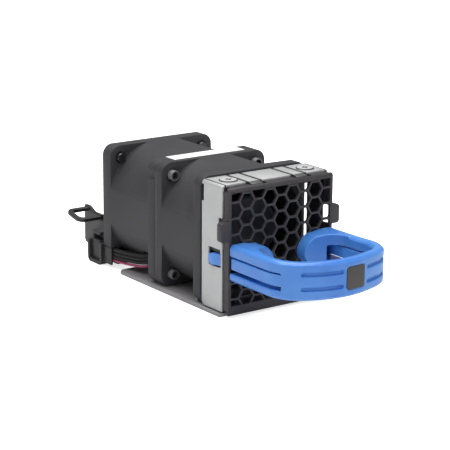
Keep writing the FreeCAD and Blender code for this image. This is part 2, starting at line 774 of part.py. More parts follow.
def rear_rivets():
    """Push rivets in the rear flange; the low left one holds the cradle."""
    tip = FAN_REAR_Y - END_FLANGE_THICKNESS - PIN_PROUD / 2
    rivets = []
    for x in (-HOLE_OFFSET, HOLE_OFFSET):
        for z in (AXIS_Z - HOLE_OFFSET, AXIS_Z + HOLE_OFFSET):
            seat = FAN_REAR_Y
            if x < 0 and z < AXIS_Z:
                seat = FAN_REAR_Y + CRADLE_WALL
            shank = rod(PIN_RADIUS, tip, seat, x, z)
            head = rod(RIVET_HEAD_RADIUS, seat, seat + RIVET_HEAD, x, z)
            rivets.append(joined([shank, head]))
    return rivets


# ---- bezel ----------------------------------------------------------------

WINDOW_HALF_WIDTH = BEZEL_HALF_WIDTH - WINDOW_MARGIN_SIDE
WINDOW_LOW_Z = BEZEL_BOTTOM_Z + WINDOW_MARGIN_BOTTOM
WINDOW_HIGH_Z = BEZEL_TOP_Z - WINDOW_MARGIN_TOP


def hexagon(x, z):
    """Flat-topped six-sided hole through the grille."""
    radius = (CELL_PITCH - CELL_RIB) / math.sqrt(3)
    points = []
    for n in range(6):
        angle = math.pi * n / 3
        points.append((x + radius * math.cos(angle), -OVERCUT, z + radius * math.sin(angle)))
    return prism(points, (0, GRILLE_THICKNESS + 2 * OVERCUT, 0))


def honeycomb():
    """All cells, cut off at the edges of the window."""
    window = block(-WINDOW_HALF_WIDTH, WINDOW_HALF_WIDTH, -OVERCUT,
                   GRILLE_THICKNESS + OVERCUT, WINDOW_LOW_Z, WINDOW_HIGH_Z)
    column_pitch = CELL_PITCH * math.sqrt(3) / 2
    columns = int((WINDOW_HALF_WIDTH + CELL_RIB) / column_pitch)
    rows = math.ceil(FAN_SIZE / 2 / CELL_PITCH) + 1
    cells = []
    for column in range(-columns, columns + 1):
        shift = CELL_PITCH / 2 if column % 2 else 0.0
        for row in range(-rows, rows + 1):
            z = AXIS_Z + CELL_RISE + shift + row * CELL_PITCH
            low = max(z - CELL_PITCH / 2 + CELL_RIB / 2, WINDOW_LOW_Z)
            high = min(z + CELL_PITCH / 2 - CELL_RIB / 2, WINDOW_HIGH_Z)
            if high - low > CELL_RIB:
                cells.append(hexagon(column * column_pitch, z).common(window))
    return Part.makeCompound(cells)


def bezel_ear():
    """Right-hand ear that stops against the chassis."""
    x0 = BEZEL_HALF_WIDTH - EAR_OVERLAP
    ear = block(x0, EAR_HALF_WIDTH, 0, EAR_THICKNESS, EAR_BOTTOM_Z, EAR_TOP_Z)
    corners = []
    for edge in ear.Edges:
        ends = edge.Vertexes
        along = abs(ends[0].Y - ends[1].Y) > EAR_THICKNESS / 2
        if along and ends[0].X > BEZEL_HALF_WIDTH:
            corners.append(edge)
    return ear.makeFillet(EAR_ROUND, corners)


def tongue_way():
    """Room that the right-hand tongue needs through the bezel."""
    side = HANDLE_INNER_X - TONGUE_TRAVEL
    low = TONGUE_LOW_Z - HOOK_CLEARANCE
    high = TONGUE_HIGH_Z + HOOK_CLEARANCE
    rim = block(side, BEZEL_HALF_WIDTH - TONGUE_COVER, -OVERCUT, SHELL_FRONT_Y, low, high)
    skirt = block(side, SHELL_HALF_WIDTH, SHELL_FRONT_Y,
                  SHELL_FRONT_Y + SKIRT_DEPTH + OVERCUT, low, high)
    return joined([rim, skirt])


def bezel():
    """Honeycomb front with rim, rear skirt, ears and screw bosses."""
    outer = block(-BEZEL_HALF_WIDTH, BEZEL_HALF_WIDTH, 0, BEZEL_RIM_DEPTH,
                  BEZEL_BOTTOM_Z, BEZEL_TOP_Z)
    top_edges = []
    for edge in outer.Edges:
        ends = edge.Vertexes
        middle_z = (BEZEL_BOTTOM_Z + BEZEL_TOP_Z) / 2
        level = ends[0].Z > middle_z and ends[1].Z > middle_z
        if level and max(ends[0].Y, ends[1].Y) < BEZEL_RIM_DEPTH / 2:
            top_edges.append(edge)
    outer = outer.makeFillet(BEZEL_TOP_ROUND, top_edges)
    inner = block(-WINDOW_HALF_WIDTH, WINDOW_HALF_WIDTH, GRILLE_THICKNESS,
                  BEZEL_RIM_DEPTH, WINDOW_LOW_Z, WINDOW_HIGH_Z)
    rim = outer.cut(inner).cut(honeycomb())
    backing = []
    for x in (-HANDLE_SCREW_X, HANDLE_SCREW_X):
        backing.append(rod(HANDLE_BOSS_RADIUS, 0, GRILLE_THICKNESS, x, HANDLE_Z))
    skirt_end = SHELL_FRONT_Y + SKIRT_DEPTH
    skirt = block(-SHELL_INNER_X, SHELL_INNER_X, BEZEL_RIM_DEPTH - SKIRT_LAP, skirt_end,
                  TRAY_THICKNESS, SHELL_INNER_Z)
    hollow = block(-SHELL_INNER_X + BEZEL_WALL, SHELL_INNER_X - BEZEL_WALL,
                   BEZEL_RIM_DEPTH - SKIRT_LAP, skirt_end, TRAY_THICKNESS + BEZEL_WALL,
                   SHELL_INNER_Z - BEZEL_WALL)
    skirt = skirt.cut(hollow)
    screw_y = SHELL_FRONT_Y + TOP_SCREW_SETBACK
    bosses = []
    holes = []
    for x in (-TOP_SCREW_X, TOP_SCREW_X):
        bottom = SHELL_INNER_Z - TOP_SCREW_LENGTH
        bosses.append(upright_rod(TOP_BOSS_RADIUS, x, screw_y, bottom, SHELL_INNER_Z))
        holes.append(upright_rod(TOP_SCREW_RADIUS + SCREW_CLEARANCE, x, screw_y, bottom,
                                 SHELL_INNER_Z))
    body = joined([rim, skirt] + bosses + backing + both_sides(bezel_ear()))
    cuts = holes + both_sides(tongue_way())
    for x in (-HANDLE_SCREW_X, HANDLE_SCREW_X):
        cuts.append(rod(HANDLE_SCREW_RADIUS + SCREW_CLEARANCE, -OVERCUT,
                        GRILLE_THICKNESS + OVERCUT, x, HANDLE_Z))
    for x in (-TRAY_RIVET_X, TRAY_RIVET_X):
        cuts.append(upright_rod(TRAY_RIVET_RADIUS + SCREW_CLEARANCE, x,
                                SHELL_FRONT_Y + TRAY_RIVET_SETBACK, 0,
                                TRAY_THICKNESS + BEZEL_WALL))
    finger = block(FINGER_INNER_X - FINGER_CLEARANCE,
                   FINGER_INNER_X + FINGER_WIDTH + FINGER_CLEARANCE,
                   BEZEL_RIM_DEPTH - FINGER_REACH - FINGER_CLEARANCE, BEZEL_RIM_DEPTH,
                   SHELL_INNER_Z - FINGER_DROP - FINGER_CLEARANCE, SHELL_TOP_Z)
    cuts += both_sides(finger)
    for z in (BEZEL_BOTTOM_Z - OVERCUT, BEZEL_TOP_Z - CORNER_NOTCH):
        notch = block(BEZEL_HALF_WIDTH - CORNER_NOTCH, BEZEL_HALF_WIDTH + OVERCUT,
                      CORNER_NOTCH, BEZEL_RIM_DEPTH, z, z + CORNER_NOTCH + OVERCUT)
        cuts += both_sides(notch)
    return body.cut(Part.makeCompound(cuts))


# ---- shell ----------------------------------------------------------------

def shell_finger():
    """Spring finger of the right side, bent down into the bezel's notch."""
    inner = FINGER_INNER_X
    top = SHELL_TOP_Z
    tip_y = SHELL_FRONT_Y - FINGER_REACH
    points = [(inner, SHELL_FRONT_Y, top), (inner, SHELL_FRONT_Y, top - SHELL_SHEET),
              (inner, tip_y, top - SHELL_SHEET - FINGER_DROP),
              (inner, tip_y, top - FINGER_DROP)]
    return prism(points, (FINGER_WIDTH, 0, 0))


def shell():
    """Folded sheet cover: two sides and a top with spring fingers."""
    outer = block(-SHELL_HALF_WIDTH, SHELL_HALF_WIDTH, SHELL_FRONT_Y, SHELL_REAR_Y,
                  SHELL_BOTTOM_Z, SHELL_TOP_Z)
    inner = block(-SHELL_INNER_X, SHELL_INNER_X, SHELL_FRONT_Y, SHELL_REAR_Y,
                  SHELL_BOTTOM_Z, SHELL_INNER_Z)
    bends = []
    for edge in outer.Edges:
        ends = edge.Vertexes
        along = abs(ends[0].Y - ends[1].Y) > SHELL_DEPTH / 2
        if along and ends[0].Z > AXIS_Z:
            bends.append(edge)
    body = outer.makeFillet(SHELL_BEND, bends).cut(inner)
    body = joined([body] + both_sides(shell_finger()))
    wall = (SHELL_INNER_X - OVERCUT, SHELL_HALF_WIDTH + OVERCUT)
    ear_notch = block(*wall, SHELL_FRONT_Y - OVERCUT, SHELL_FRONT_Y + EAR_NOTCH_DEPTH,
                      EAR_BOTTOM_Z - EAR_NOTCH_MARGIN, EAR_TOP_Z + EAR_NOTCH_MARGIN)
    hook_y = SHELL_FRONT_Y + HOOK_START
    hook_hole = block(*wall, hook_y - HOOK_CLEARANCE,
                      hook_y + HOOK_LENGTH + HOOK_CLEARANCE,
                      TONGUE_LOW_Z - HOOK_CLEARANCE, TONGUE_HIGH_Z + HOOK_CLEARANCE)
    step = block(*wall, SHELL_REAR_Y - SHELL_STEP, SHELL_REAR_Y + OVERCUT,
                 AXIS_Z + SHELL_STEP_RISE, SHELL_TOP_Z - SHELL_BEND)
    corner = prism([(wall[0], SHELL_REAR_Y - SHELL_CHAMFER, SHELL_BOTTOM_Z),
                    (wall[0], SHELL_REAR_Y, SHELL_BOTTOM_Z),
                    (wall[0], SHELL_REAR_Y, SHELL_BOTTOM_Z + SHELL_CHAMFER)],
                   (wall[1] - wall[0], 0, 0))
    cuts = []
    for cut in (ear_notch, hook_hole, step, corner):
        cuts += both_sides(cut)
    for x in (FINGER_INNER_X - SLOT_WIDTH, FINGER_INNER_X + FINGER_WIDTH):
        slot = block(x, x + SLOT_WIDTH, SHELL_FRONT_Y - OVERCUT,
                     SHELL_REAR_Y - FINGER_ROOT, SHELL_INNER_Z - OVERCUT,
                     SHELL_TOP_Z + OVERCUT)
        cuts += both_sides(slot)
    for x in (-TOP_SCREW_X, TOP_SCREW_X):
        cuts.append(upright_rod(TOP_SCREW_RADIUS + SCREW_CLEARANCE, x,
                                SHELL_FRONT_Y + TOP_SCREW_SETBACK,
                                SHELL_INNER_Z - OVERCUT, SHELL_TOP_Z + OVERCUT))
    return body.cut(Part.makeCompound(cuts))


def shell_screws():
    """Two low-headed screws through the shell into the bezel's bosses."""
    screws = []
    y = SHELL_FRONT_Y + TOP_SCREW_SETBACK
    for x in (-TOP_SCREW_X, TOP_SCREW_X):
        head = Part.makeCone(TOP_SCREW_HEAD_RADIUS, TOP_SCREW_HEAD_RADIUS - TOP_SCREW_TAPER,
                             TOP_SCREW_HEAD, Vec(x, y, SHELL_TOP_Z))
        shank = upright_rod(TOP_SCREW_RADIUS, x, y,
                            SHELL_INNER_Z - TOP_SCREW_LENGTH + SCREW_END_GAP, SHELL_TOP_Z)
        slot = block(x - TOP_SLOT_LENGTH / 2, x + TOP_SLOT_LENGTH / 2,
                     y - TOP_SLOT_WIDTH / 2, y + TOP_SLOT_WIDTH / 2,
                     SHELL_TOP_Z + TOP_SCREW_HEAD / 3, SHELL_TOP_Z + OVERCUT)
        screws.append(joined([head, shank]).cut(slot))
    return screws


# ---- handle ---------------------------------------------------------------

def loop_outline(inset):
    """Edges of the loop's plan, a given way inside its outer face."""
    half = HANDLE_HALF_WIDTH - inset
    front = HANDLE_FRONT_RADIUS - inset
    corner = HANDLE_CORNER_RADIUS - inset
    centre_y = HANDLE_FRONT_RADIUS - HANDLE_REACH
    side = HANDLE_HALF_WIDTH - HANDLE_CORNER_RADIUS
    gap = HANDLE_FRONT_RADIUS - HANDLE_CORNER_RADIUS
    corner_y = centre_y - math.sqrt(gap * gap - side * side)
    lean = math.asin(side / gap)
    turn = (lean + math.pi / 2) / 2
    nose = Vec(0, centre_y - front, 0)
    right = [Vec(half, 0, 0), Vec(half, corner_y, 0),
             Vec(side + corner * math.sin(turn), corner_y - corner * math.cos(turn), 0),
             Vec(front * math.sin(lean), centre_y - front * math.cos(lean), 0)]
    left = [Vec(-point.x, point.y, 0) for point in right]
    edges = [Part.LineSegment(left[0], left[1]), Part.Arc(left[1], left[2], left[3]),
             Part.Arc(left[3], nose, right[3]), Part.Arc(right[3], right[2], right[1]),
             Part.LineSegment(right[1], right[0])]
    return [edge.toShape() for edge in edges]


def loop_slab(outer_inset, inner_inset, low_z, high_z):
    """Slice of the loop between two offsets from its outer face."""
    outer = loop_outline(outer_inset)
    inner = loop_outline(inner_inset)
    outer_x = HANDLE_HALF_WIDTH - outer_inset
    inner_x = HANDLE_HALF_WIDTH - inner_inset
    right_end = Part.LineSegment(Vec(outer_x, 0, 0), Vec(inner_x, 0, 0)).toShape()
    left_end = Part.LineSegment(Vec(-inner_x, 0, 0), Vec(-outer_x, 0, 0)).toShape()
    plan = Part.Face(Part.Wire(outer + [right_end] + inner[::-1] + [left_end]))
    plan.translate(Vec(0, 0, low_z))
    return plan.extrude(Vec(0, 0, high_z - low_z))


def loop_band():
    """The whole loop with its four long edges bevelled."""
    low = HANDLE_Z - HANDLE_HEIGHT / 2
    high = HANDLE_Z + HANDLE_HEIGHT / 2
    band = loop_slab(0, HANDLE_WALL, low, high)
    edges = []
    for edge in band.Edges:
        box = edge.BoundBox
        level = box.ZLength < HANDLE_WALL / 2
        if level and box.YMin < -HANDLE_WALL:
            edges.append(edge)
    return band.makeChamfer(HANDLE_EDGE_BEVEL, edges)


def handle_foot():
    """Right-hand foot: a pad on the bezel that blends into the arm."""
    inner = HANDLE_INNER_X
    blend = Part.Arc(Vec(inner - FOOT_BLEND, -FOOT_DEPTH, 0),
                     Vec(inner - FOOT_BLEND * (1 - math.sqrt(0.5)),
                         -FOOT_DEPTH - FOOT_BLEND * (1 - math.sqrt(0.5)), 0),
                     Vec(inner, -FOOT_DEPTH - FOOT_BLEND, 0)).toShape()
    joint = inner + HANDLE_WALL / 4
    corners = [Vec(inner, -FOOT_DEPTH - FOOT_BLEND, 0),
               Vec(joint, -FOOT_DEPTH - FOOT_BLEND, 0),
               Vec(joint, 0, 0), Vec(FOOT_INNER_X, 0, 0),
               Vec(FOOT_INNER_X, -FOOT_DEPTH, 0), Vec(inner - FOOT_BLEND, -FOOT_DEPTH, 0)]
    plan = Part.Face(Part.Wire([blend] + Part.makePolygon(corners).Edges))
    plan.translate(Vec(0, 0, HANDLE_Z - HANDLE_HEIGHT / 2))
    pad = plan.extrude(Vec(0, 0, HANDLE_HEIGHT))
    centre_x = FOOT_INNER_X + FOOT_ROUND
    disc = rod(FOOT_ROUND, -2 * FOOT_DEPTH, 0, centre_x, HANDLE_Z)
    rest = block(centre_x, HANDLE_HALF_WIDTH, -3 * FOOT_DEPTH, 0,
                 HANDLE_Z - HANDLE_HEIGHT / 2, HANDLE_Z + HANDLE_HEIGHT / 2)
    return pad.common(joined([disc, rest]))


def tongue_slot():
    """Space cut in the right arm for its tongue."""
    return block(HANDLE_INNER_X - TONGUE_SIDE_SPACE, HANDLE_HALF_WIDTH + OVERCUT,
                 TONGUE_ROOT_Y, OVERCUT, TONGUE_LOW_Z - TONGUE_LOWER_SLOT,
                 TONGUE_HIGH_Z + TONGUE_UPPER_SLOT)


def badge_plate(proud):
    """Curved plate with rounded corners at the badge's place on the loop."""
    half_x = BADGE_WIDTH / 2
    half_z = BADGE_HEIGHT / 2
    low = HANDLE_Z - half_z
    high = HANDLE_Z + half_z
    window = rounded_block(BADGE_X - half_x, BADGE_X + half_x, -HANDLE_REACH - OVERCUT,
                           TONGUE_ROOT_Y, low, high, BADGE_ROUND, "y")
    return loop_slab(-proud, BADGE_THICKNESS, low, high).common(window)


def handle_loop():
    """Flexible loop with grooves, badge pocket, feet and tongue slots."""
    body = joined([loop_band()] + both_sides(handle_foot()))
    body = body.cut(Part.makeCompound(both_sides(tongue_slot())))
    for x in (-HANDLE_SCREW_X, HANDLE_SCREW_X):
        body = body.cut(rod(HANDLE_SCREW_RADIUS + SCREW_CLEARANCE, -HANDLE_SCREW_LENGTH,
                            OVERCUT, x, HANDLE_Z))
    for level in (-HANDLE_GROOVE_OFFSET, HANDLE_GROOVE_OFFSET):
        z = HANDLE_Z + level
        groove = loop_slab(-OVERCUT, HANDLE_GROOVE_DEPTH, z - HANDLE_GROOVE_HEIGHT / 2,
                           z + HANDLE_GROOVE_HEIGHT / 2)
        for side in (-1, 1):
            start = BADGE_X + side * HANDLE_GROOVE_START
            end = start + side * HANDLE_GROOVE_LENGTH
            reach = block(min(start, end), max(start, end), -HANDLE_REACH - OVERCUT,
                          TONGUE_ROOT_Y - OVERCUT, 0, SHELL_TOP_Z)
            body = body.cut(groove.common(reach))
    return body.cut(badge_plate(OVERCUT))


def handle_badge():
    """Thin plate that fills the pocket in the loop's front."""
    return badge_plate(BADGE_PROUD)


def handle_screws():
    """Screws from inside the bezel into the handle's feet."""
    screws = []
    for x in (-HANDLE_SCREW_X, HANDLE_SCREW_X):
        head = rod(HANDLE_SCREW_HEAD_RADIUS, GRILLE_THICKNESS,
                   GRILLE_THICKNESS + HANDLE_SCREW_HEAD, x, HANDLE_Z)
        shank = rod(HANDLE_SCREW_RADIUS, SCREW_END_GAP - HANDLE_SCREW_LENGTH,
                    GRILLE_THICKNESS, x, HANDLE_Z)
        screws.append(joined([head, shank]))
    return screws


def latch_tongue():
    """Right-hand tongue, from its root in the loop to the hook in the shell."""
    band = loop_slab(0, HANDLE_WALL, TONGUE_LOW_Z, TONGUE_HIGH_Z)
    step_y = -TONGUE_CLEARANCE - TONGUE_STEP
    reach = block(0, HANDLE_HALF_WIDTH + OVERCUT, TONGUE_ROOT_Y + TONGUE_ROOT_GAP, step_y,
                  0, SHELL_TOP_Z)
    arm = band.common(reach)
    inner = HANDLE_INNER_X
    slim = BEZEL_HALF_WIDTH - TONGUE_COVER - TONGUE_CLEARANCE
    hook_y = SHELL_FRONT_Y + HOOK_START
    hook_end = hook_y + HOOK_LENGTH
    proud = SHELL_HALF_WIDTH + HOOK_PROUD
    low = TONGUE_LOW_Z
    points = [(inner, step_y, low), (HANDLE_HALF_WIDTH, step_y, low),
              (slim, -TONGUE_CLEARANCE, low), (slim, hook_y, low),
              (SHELL_HALF_WIDTH - HOOK_LIP, hook_y, low),
              (proud, hook_y + HOOK_LENGTH * HOOK_RAMP, low), (proud, hook_end, low),
              (slim, hook_end, low), (inner + TONGUE_END_STEP, hook_end, low)]
    tail = prism(points, (0, 0, TONGUE_HEIGHT))
    return joined([arm, tail])


# ---- label, connector and leads -------------------------------------------

def joint_label():
    """Blank strip across the joint of the two fans."""
    top = AXIS_Z + FAN_SIZE / 2
    middle = JOINT_Y + LABEL_SHIFT
    return block(-LABEL_LENGTH / 2, LABEL_LENGTH / 2, middle - LABEL_WIDTH / 2,
                 middle + LABEL_WIDTH / 2, top, top + LABEL_THICKNESS)


def lead_windows():
    """Way for the leads through the cradle's front wall."""
    half = LEAD_RADIUS + LEAD_WINDOW_GAP
    return block(-LEAD_X - half, -LEAD_X + half,
                 FAN_REAR_Y - OVERCUT, FAN_REAR_Y + CRADLE_WALL + OVERCUT,
                 LEAD_Z - 2 * LEAD_SPACING, LEAD_Z + 2 * LEAD_SPACING)


def bracket_fin():
    """Upright wall of the bracket, seen from the side as one outline."""
    front = FAN_REAR_Y
    rear = FIN_REAR_Y
    bow = FIN_CORNER * (1 - math.sqrt(0.5))
    corner = Part.Arc(Vec(0, rear - FIN_CORNER, FIN_LOW_Z), Vec(0, rear - bow, FIN_LOW_Z + bow),
                      Vec(0, rear, FIN_LOW_Z + FIN_CORNER)).toShape()
    points = [Vec(0, rear, FIN_LOW_Z + FIN_CORNER), Vec(0, rear, FIN_TOP_Z),
              Vec(0, rear - FIN_PEAK_LENGTH, FIN_TOP_Z),
              Vec(0, rear - FIN_STEP_START, FIN_STEP_Z),
              Vec(0, rear - FIN_SHOULDER_START, FIN_STEP_Z),
              Vec(0, rear - FIN_SHOULDER_START, FIN_SHOULDER_Z),
              Vec(0, front, FIN_SHOULDER_Z), Vec(0, front, 0),
              Vec(0, CRADLE_REAR_Y - CRADLE_ROUND, 0),
              Vec(0, CRADLE_REAR_Y - CRADLE_ROUND, FIN_LOW_Z),
              Vec(0, rear - FIN_CORNER, FIN_LOW_Z)]
    outline = Part.Wire([corner] + Part.makePolygon(points).Edges)
    fin = Part.Face(outline).extrude(Vec(CRADLE_WALL, 0, 0))
    fin.translate(Vec(FIN_LEFT_X, 0, 0))
    drop = block(FIN_LEFT_X - OVERCUT, CRADLE_RIGHT_X + OVERCUT,
                 HOUSING_FRONT_Y - HOUSING_GAP, HOUSING_REAR_Y + HOUSING_GAP,
                 CRADLE_WALL, FIN_TOP_Z + OVERCUT)
    return fin.cut(drop)


def bracket_ring():
    """Flat wire loop on the fin's left side, tilted up to the rear."""
    rear = FIN_REAR_Y - RING_SETBACK
    front = FIN_REAR_Y - FIN_SHOULDER_START
    left = FIN_LEFT_X - RING_REACH
    top = FIN_STEP_Z - RING_DROP
    outer = rounded_block(left, FIN_LEFT_X + RING_CORNER, front, rear, top - RING_THICKNESS,
                          top, RING_CORNER, "z")
    hole = rounded_block(left + RING_BAR, FIN_LEFT_X + RING_CORNER, front + RING_BAR,
                         rear - RING_BAR, top - 2 * RING_THICKNESS, top + RING_THICKNESS,
                         RING_CORNER - RING_BAR / 2, "z")
    ring = outer.cut(hole)
    ring.rotate(Vec(0, front, top), Vec(1, 0, 0), RING_RISE)
    beyond = block(FIN_LEFT_X + CRADLE_WALL / 2, 0, FAN_REAR_Y, FIN_REAR_Y + RING_REACH, 0,
                   SHELL_TOP_Z)
    return ring.cut(beyond)


def connector_bracket():
    """Moulded U with its fin, ring and the arm that hooks the fan's flange."""
    outer = rounded_block(CRADLE_LEFT_X, CRADLE_RIGHT_X, FAN_REAR_Y, CRADLE_REAR_Y, 0,
                          2 * CRADLE_HEIGHT, CRADLE_ROUND, "x")
    outer = outer.common(block(CRADLE_LEFT_X, CRADLE_RIGHT_X, FAN_REAR_Y, CRADLE_REAR_Y,
                               0, CRADLE_HEIGHT))
    inner = block(CRADLE_LEFT_X - OVERCUT, CRADLE_RIGHT_X + OVERCUT,
                  FAN_REAR_Y + CRADLE_WALL, CRADLE_REAR_Y - CRADLE_WALL, CRADLE_WALL,
                  CRADLE_HEIGHT + OVERCUT)
    arm = block(-FAN_SIZE / 2, -FAN_SIZE / 2 + ARM_THICKNESS,
                FAN_REAR_Y - END_FLANGE_THICKNESS, FAN_REAR_Y + CRADLE_WALL / 2,
                TRAY_THICKNESS + NOTCH_CLEARANCE, NOTCH_TOP_Z - NOTCH_CLEARANCE)
    body = joined([outer.cut(inner), bracket_fin(), bracket_ring(), arm])
    hole = rod(FAN_HOLE_RADIUS, FAN_REAR_Y, FAN_REAR_Y + CRADLE_WALL, -HOLE_OFFSET,
               LOW_HOLE_Z)
    return body.cut(hole).cut(lead_windows())


def connector_housing():
    """Connector that drops into the cradle, with its plug behind the fan."""
    body = block(HOUSING_LEFT_X, HOUSING_RIGHT_X, HOUSING_FRONT_Y, HOUSING_REAR_Y,
                 CRADLE_WALL, HOUSING_TOP_Z)
    plug_left = CRADLE_RIGHT_X + HOUSING_GAP
    plug_rear = FAN_REAR_Y + PLUG_REACH
    plug = rounded_block(plug_left, HOUSING_RIGHT_X, HOUSING_FRONT_Y, plug_rear, PLUG_LOW_Z,
                         PLUG_TOP_Z, PLUG_ROUND, "y")
    cavity = block(plug_left + PLUG_WALL, HOUSING_RIGHT_X - PLUG_WALL,
                   plug_rear - PLUG_CAVITY, plug_rear + OVERCUT, PLUG_LOW_Z + PLUG_WALL,
                   PLUG_TOP_Z - PLUG_WALL)
    body = joined([body, plug]).cut(cavity)
    slot = block(HOUSING_LEFT_X - OVERCUT, HOUSING_LEFT_X + SLOT_DEPTH,
                 HOUSING_FRONT_Y - OVERCUT, HOUSING_REAR_Y - PLUG_WALL, SLOT_LOW_Z,
                 SLOT_LOW_Z + SLOT_HEIGHT)
    return body.cut(slot).cut(Part.makeCompound(connector_contacts()))


def connector_contacts():
    """Square pins that stand in the plug's cavity."""
    middle_x = (CRADLE_RIGHT_X + HOUSING_GAP + HOUSING_RIGHT_X) / 2
    middle_z = (PLUG_LOW_Z + PLUG_TOP_Z) / 2
    base = FAN_REAR_Y + PLUG_REACH - PLUG_CAVITY
    half = CONTACT_SIZE / 2
    pins = []
    for row in range(CONTACT_ROWS):
        for column in range(CONTACT_COLUMNS):
            x = middle_x + (column - (CONTACT_COLUMNS - 1) / 2) * CONTACT_PITCH
            z = middle_z + (row - (CONTACT_ROWS - 1) / 2) * CONTACT_PITCH
            pins.append(block(x - half, x + half, base - CONTACT_SEAT,
                              base + CONTACT_LENGTH, z - half, z + half))
    return pins


def lead_path(points):
    """Straight runs joined by tangent arcs; prints the arcs' radii."""
    edges = []
    radii = []
    start = points[0]
    for before, corner, after in zip(points, points[1:], points[2:]):
        arrive = (corner - before).normalize()
        leave = (after - corner).normalize()
        shorter = min((corner - before).Length, (after - corner).Length)
        half_turn = arrive.getAngle(leave) / 2
        reach = LEAD_BEND_SHARE * shorter
        radii.append(reach / math.tan(half_turn))
        first = corner - arrive * reach
        last = corner + leave * reach
        inward = (leave - arrive).normalize()
        sagitta = radii[-1] * (1 / math.cos(half_turn) - 1)
        edges.append(Part.LineSegment(start, first).toShape())
        edges.append(Part.Arc(first, corner + inward * sagitta, last).toShape())
        start = last
    edges.append(Part.LineSegment(start, points[-1]).toShape())
    print("lead bend radii", [round(radius, 1) for radius in radii])
    return Part.Wire(edges)


def between(start, end, shares):
    """Place part of the way from one point to another, by shares of each axis."""
    return tuple(a + (b - a) * share for a, b, share in zip(start, end, shares))


def lead_section(centre, heading):
    """Outline of a lead, square to the way it heads."""
    side = heading.cross(Vec(0, 0, 1)).normalize()
    rise = side.cross(heading)
    corners = []
    for n in range(LEAD_SIDES + 1):
        angle = 2 * math.pi * n / LEAD_SIDES
        corners.append(centre + side * (LEAD_RADIUS * math.cos(angle))
                       + rise * (LEAD_RADIUS * math.sin(angle)))
    return Part.makePolygon(corners)


def motor_leads(fan):
    """The fan's leads, from its board's rim to the connector."""
    rim = HUB_RADIUS - HUB_WALL + LEAD_START_GAP
    board = (rim * math.sqrt(0.5), JOINT_Y + fan.facing * LEAD_STATION,
             rim * math.sqrt(0.5))
    middle = (PORT_INNER + PORT_OUTER) / 2
    port = (middle, JOINT_Y + PORT_START + LEAD_PORT_REACH, middle)
    notch = (LEAD_X, FAN_REAR_Y, AXIS_Z - LEAD_Z)
    end = (LEAD_X, HOUSING_FRONT_Y, AXIS_Z - LEAD_Z)
    inside = FRONT_LEAD_INSIDE if fan.facing < 0 else REAR_LEAD_INSIDE
    route = [between(board, port, shares) for shares in inside] + [port]
    route += [between(port, notch, shares) for shares in LEAD_OUTSIDE] + [end]
    leads = []
    for n in range(LEADS_PER_FAN):
        rise = fan.facing * (n + 0.5) * LEAD_SPACING
        lean = math.pi / 4 - rise * math.sqrt(0.5) / rim
        points = [Vec(-rim * math.cos(lean), board[1], AXIS_Z - rim * math.sin(lean))]
        points += [Vec(-x, y, AXIS_Z - z + rise) for x, y, z in route]
        heading = (points[1] - points[0]).normalize()
        section = lead_section(points[0], heading)
        leads.append(lead_path(points).makePipeShell([section], True, False))
    return leads


# ---- the whole module -----------------------------------------------------

def main():
    """Build every piece and write it to its own STEP file."""
    os.makedirs("parts", exist_ok=True)
    front = Fan("front", -1, FRONT_FAN_LENGTH, FLANGE_THICKNESS, FRONT_HUB_END,
                FRONT_BLADES, FRONT_BLADE_DEPTH)
    rear = Fan("rear", 1, REAR_FAN_LENGTH, END_FLANGE_THICKNESS, REAR_HUB_END,
               REAR_BLADES, REAR_BLADE_DEPTH)
    for fan in (front, rear):
        for name, shapes in fan_pieces(fan).items():
            save(name, shapes)
        save(fan.name + "_fan_leads", motor_leads(fan))
    save("tray_plate", tray_plate())
    save("tray_pins", tray_pins())
    save("tray_rivets", tray_rivets())
    save("joint_pins", joint_pins())
    save("rear_rivets", rear_rivets())
    save("bezel", bezel())
    save("shell", shell())
    save("shell_screws", shell_screws())
    save("handle_loop", handle_loop())
    save("handle_badge", handle_badge())
    save("handle_screws", handle_screws())
    tongue = latch_tongue()
    save("latch_tongue_right", tongue)
    save("latch_tongue_left", mirrored(tongue))
    save("joint_label", joint_label())
    save("connector_bracket", connector_bracket())
    save("connector_housing", connector_housing())
    save("connector_contacts", connector_contacts())


main()
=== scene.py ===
"""Looks of a hot-swap fan module: twin fans, honeycomb bezel, steel shell and loop handle."""

import json
import logging
import math
from contextlib import contextmanager
from dataclasses import dataclass
from enum import Enum
from typing import Any, Callable, Iterator, Optional, Sequence, Union

import bmesh
import bpy
from bmesh.types import BMEdge, BMesh, BMVert
from bpy.types import Material, Mesh
from bpy.types import NodeSocket as Socket
from bpy.types import Object as Piece
from mathutils import Matrix, Vector
from mathutils.bvhtree import BVHTree


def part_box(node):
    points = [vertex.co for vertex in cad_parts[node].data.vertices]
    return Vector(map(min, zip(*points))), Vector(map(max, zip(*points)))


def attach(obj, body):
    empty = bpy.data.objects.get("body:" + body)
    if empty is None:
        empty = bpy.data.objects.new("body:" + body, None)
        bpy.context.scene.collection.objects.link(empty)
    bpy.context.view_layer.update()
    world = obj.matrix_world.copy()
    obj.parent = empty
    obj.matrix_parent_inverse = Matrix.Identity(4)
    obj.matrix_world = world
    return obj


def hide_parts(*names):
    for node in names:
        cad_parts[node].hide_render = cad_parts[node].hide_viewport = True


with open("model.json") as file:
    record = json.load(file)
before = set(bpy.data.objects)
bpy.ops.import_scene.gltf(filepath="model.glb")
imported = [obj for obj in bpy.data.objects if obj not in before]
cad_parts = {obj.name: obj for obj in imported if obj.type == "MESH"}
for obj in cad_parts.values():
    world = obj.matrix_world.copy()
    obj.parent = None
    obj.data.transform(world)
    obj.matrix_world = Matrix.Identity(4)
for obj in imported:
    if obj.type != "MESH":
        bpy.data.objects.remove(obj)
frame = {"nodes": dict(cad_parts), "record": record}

log = logging.getLogger("fan_module")
MM = 0.001
BEZEL_FRONT_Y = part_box("bezel")[0][1]
AXIS_Z = 21.0
HANDLE_Z = 17.3
